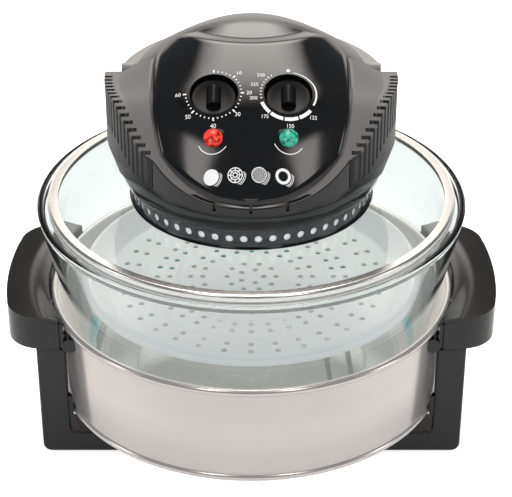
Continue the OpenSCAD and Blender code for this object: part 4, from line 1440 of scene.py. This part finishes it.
# %% [markdown]
# ## The scales
# The timer counts minutes and the thermostat counts degrees. The four small discs below stand for
# the ways of cooking. Every stroke comes from its angle, so the scales stay true to the dials.


# %% Printed scales
def timer_scale():
    """A stroke every two minutes, longer at the tens, over three quarters of the ring."""
    shapes = []
    for minute in range(0, 61, 2):
        shapes += ticks(*((MINOR_OUT, 1.1) if minute % 10 else (MAJOR_OUT, 1.5)), [90 - 4.5 * minute])
    for tens in range(1, 7):
        place = ring_place(DIGITS_AT if tens != 3 else DIGITS_AT - 1, 90 - 45 * tens)
        shapes.append(letters(str(10 * tens), MINUTE_SIZE, *place))
    return joined(*shapes)


def thermostat_scale():
    """A dot, a band that widens from it, four bold bands, and strokes on the hot side."""
    marks = {141: "250", 163: "225", 190: "200", 228: "175", 272: "150", 313: "125"}
    shapes = [letters(text, DEGREE_SIZE, *ring_place(DIGITS_AT, angle))
              for angle, text in marks.items()]
    shapes += ticks(MINOR_OUT, 1.2, range(128, 197, 8))
    shapes += [sector(TICK_IN, TICK_IN + 0.5 + 0.9 * i / 12, 80 - 9 * i, 71 - 9 * i) for i in range(12)]
    shapes += [sector(TICK_IN, MAJOR_OUT, start, start + 27) for start in (202, 232, 262, 292)]
    dot = placed(sector(0.05, 1.5, 0, 360), moved(0, 22.2, 0))
    return joined(dot, *shapes)


def mode_discs():
    """Four small discs: plain, fan, hatched and open, each hugged by two thin arcs."""
    plain = [sector(0.05, DISC_R, 0, 360)]
    fan = [sector(r, r + 0.7, 0, 360) for r in (1.2, 3.0, 4.9)]
    fan += [sector(1.4, 5.4, a - 5, a + 5) for a in range(0, 360, 45)]
    hatched = [sector(4.9, DISC_R, 0, 360)]
    hatched += [sector(r, r + 0.8, a, a + 14) for r in (0.8, 2.2, 3.6) for a in range(0, 360, 24)]
    opened = [sector(3.6, DISC_R, 0, 360)]
    drawn = []
    for i, shapes in enumerate((plain, fan, hatched, opened)):
        arcs = [sector(6.5, 7.0, -70, 20), sector(7.6, 8.0, -60, 10)]
        drawn.append(placed(joined(*shapes, *arcs), moved(DISC_PITCH * (i - 1.5), 0, 0)))
    return joined(*drawn)


PRINTS = {
    "timer_scale": (timer_scale(), -DIAL_X, DIAL_Y, DIAL_TILT),
    "thermostat_scale": (thermostat_scale(), DIAL_X, DIAL_Y, DIAL_TILT),
    "left_lens_arc": (sector(*LENS_ARC), -DIAL_X, LENS_Y, LENS_TILT),
    "right_lens_arc": (sector(*LENS_ARC), DIAL_X, LENS_Y, LENS_TILT),
    "mode_discs": (mode_discs(), DISCS_X, DISCS_Y, DISCS_TILT),
}
for name, drawing in PRINTS.items():
    piece(printed(*drawing), name, "lid", white_print)

# %% [markdown]
# ## Inner parts
# What lies inside shows through glass, or not at all. It could be made again in full, but that
# would hardly be seen. So it keeps the frame's own solids, and each takes the finish of its real
# material.

# %% Finishes of the frame's solids
CARRIED = {
    satin_black: ("rim_lugs", "pan_brackets", "power_inlet"),
    vent_black: ("left_side_vent", "right_side_vent"),
    dark_rubber: ("rubber_feet",),
    silicone: ("lid_seal",),
    trim_steel: ("convection_fan",),
    wire_chrome: ("guard_grille",),
    quartz: ("halogen_lamp", "indicator_bulbs"),
    ceramic: ("lamp_holders", "thermal_fuse"),
    copper: ("thermostat_bulb",),
    brass: ("inlet_pins", "fan_nut"),
    zinc_steel: ("handle_screws", "heat_shield", "thermostat_unit", "motor_brackets", "motor_bridge",
                 "pivot_pins", "head_screws", "timer_spindle", "thermostat_spindle", "motor_shaft"),
    laminated_steel: ("motor_stator", "motor_rotor"),
    ivory_plastic: ("timer_unit", "terminal_block", "cooling_fan", "switch_plunger"),
    blue_plastic: ("safety_switch",),
}
for material, names in CARRIED.items():
    for name in names:
        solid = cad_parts[name]
        solid.data.materials.clear()
        solid.data.materials.append(material)
print(sum(map(len, CARRIED.values())), "solids keep their shape and take a finish")

# %% [markdown]
# ## The floor
# A pale floor runs far behind the oven, so the floor is all that shows round it. Lamps alone
# would leave it grey. So it glows for the camera, and less for the metal and the glass: it comes
# out white and the shadow stays on it.

# %% Floor
FLOOR_GLOW = 0.7
GLOW_THROUGH = 0.05
GLOW_MIRRORED = 0.3
FLOOR_SIZE = 12.0


def floor_material():
    """Pale, with a glow that depends on which rays look at it."""
    finish = Finish("floor", Roughness=0.6, Base_Color=grey(0.8), Emission_Strength=1.0)
    seen, mirrored_in, through = [
        finish.node("ShaderNodeLightPath", output=f"Is {kind} Ray")
        for kind in ("Camera", "Glossy", "Transmission")]
    share = seen + GLOW_THROUGH * through + GLOW_MIRRORED * mirrored_in
    finish.feed("Emission Color", finish.mix(share, grey(0.0), grey(FLOOR_GLOW)))
    return finish.material


def flat_sheet(name, width, length, material):
    """A flat sheet of the stage, its size in metres."""
    mesh = bpy.data.meshes.new(name)
    bm = placed(grid(1, 1), Matrix.Diagonal((width / 2, length / 2, 1, 1)))
    bm.to_mesh(mesh)
    bm.free()
    mesh.materials.append(material)
    made = bpy.data.objects.new(name, mesh)
    scene.collection.objects.link(made)
    return made


floor = flat_sheet("floor", FLOOR_SIZE, FLOOR_SIZE, floor_material())
print("floor", FLOOR_SIZE, "metres wide")

# %% [markdown]
# ## The light
# A glowing sheet can fade towards its edges as a softbox does, and an area light can't. One
# hangs overhead, a wide one stands behind, one stands at each side, and two narrow strips over
# the front draw the bright patches on the panel. The camera doesn't see the sheets. The world is
# a pale room for what is matt or seen through glass, and a dim one in anything that mirrors it,
# which keeps the black plastic black.

# %% Lamps and world
def glow(name, at, aim, size, level, colour=WHITE, soft=0.35):
    """A glowing sheet that fades towards its edges, its place, aim and size in metres."""
    finish = Finish(name, Base_Color=grey(0.0), Emission_Strength=level)
    shares = []
    for axis, length in zip("XY", size):
        away = finish.node("ShaderNodeMath", {"operation": "ABSOLUTE"}, {0: finish.along(axis)})
        shares.append(finish.fade(away, length / 2, length / 2 * (1 - 2 * soft)))
    finish.feed("Emission Color", finish.mix(shares[0] * shares[1], grey(0.0), colour))
    made = flat_sheet(name, *size, finish.material)
    made.location = at
    made.rotation_euler = (Vector(aim) - Vector(at)).to_track_quat("-Z", "Y").to_euler()
    made.visible_camera = False
    print(name, "of", size, "metres at", at)


AIM = (0, 0, 0.25)
WARM = (1, 0.95, 0.9, 1)
PALE = (0.9, 0.92, 0.96, 1)
DIM = (0.85, 0.88, 0.96, 1)
glow("overhead", (0, 1.0, 1.95), AIM, (1.15, 2.9), 7.0, WARM)
glow("backdrop", (0, 2.7, 0.85), (0, 0, 0.45), (5.0, 1.7), 1.7, WARM, 0.15)
for side in (-1, 1):
    glow("side_light", (side * 1.7, -0.5, 0.8), AIM, (0.7, 1.3), 3.0)
    glow("front_strip", (side * 0.54, -1.1, 1.62), AIM, (0.36, 1.0), 5.0, WARM, 0.2)

world = bpy.data.worlds.new("studio")
world.use_nodes = True
scene.world = world
tree = world.node_tree
pale_room = tree.nodes["Background"]
dim_room = tree.nodes.new("ShaderNodeBackground")
for room, colour, strength in ((pale_room, PALE, 0.85), (dim_room, DIM, 0.22)):
    room.inputs["Color"].default_value = colour
    room.inputs["Strength"].default_value = strength
path = tree.nodes.new("ShaderNodeLightPath")
reflected = tree.nodes.new("ShaderNodeMath")
reflected.operation = "SUBTRACT"
reflected.use_clamp = True
tree.links.new(path.outputs["Is Glossy Ray"], reflected.inputs[0])
tree.links.new(path.outputs["Is Transmission Ray"], reflected.inputs[1])
either = tree.nodes.new("ShaderNodeMixShader")
tree.links.new(reflected.outputs[0], either.inputs[0])
tree.links.new(pale_room.outputs[0], either.inputs[1])
tree.links.new(dim_room.outputs[0], either.inputs[2])
tree.links.new(either.outputs[0], tree.nodes["World Output"].inputs["Surface"])
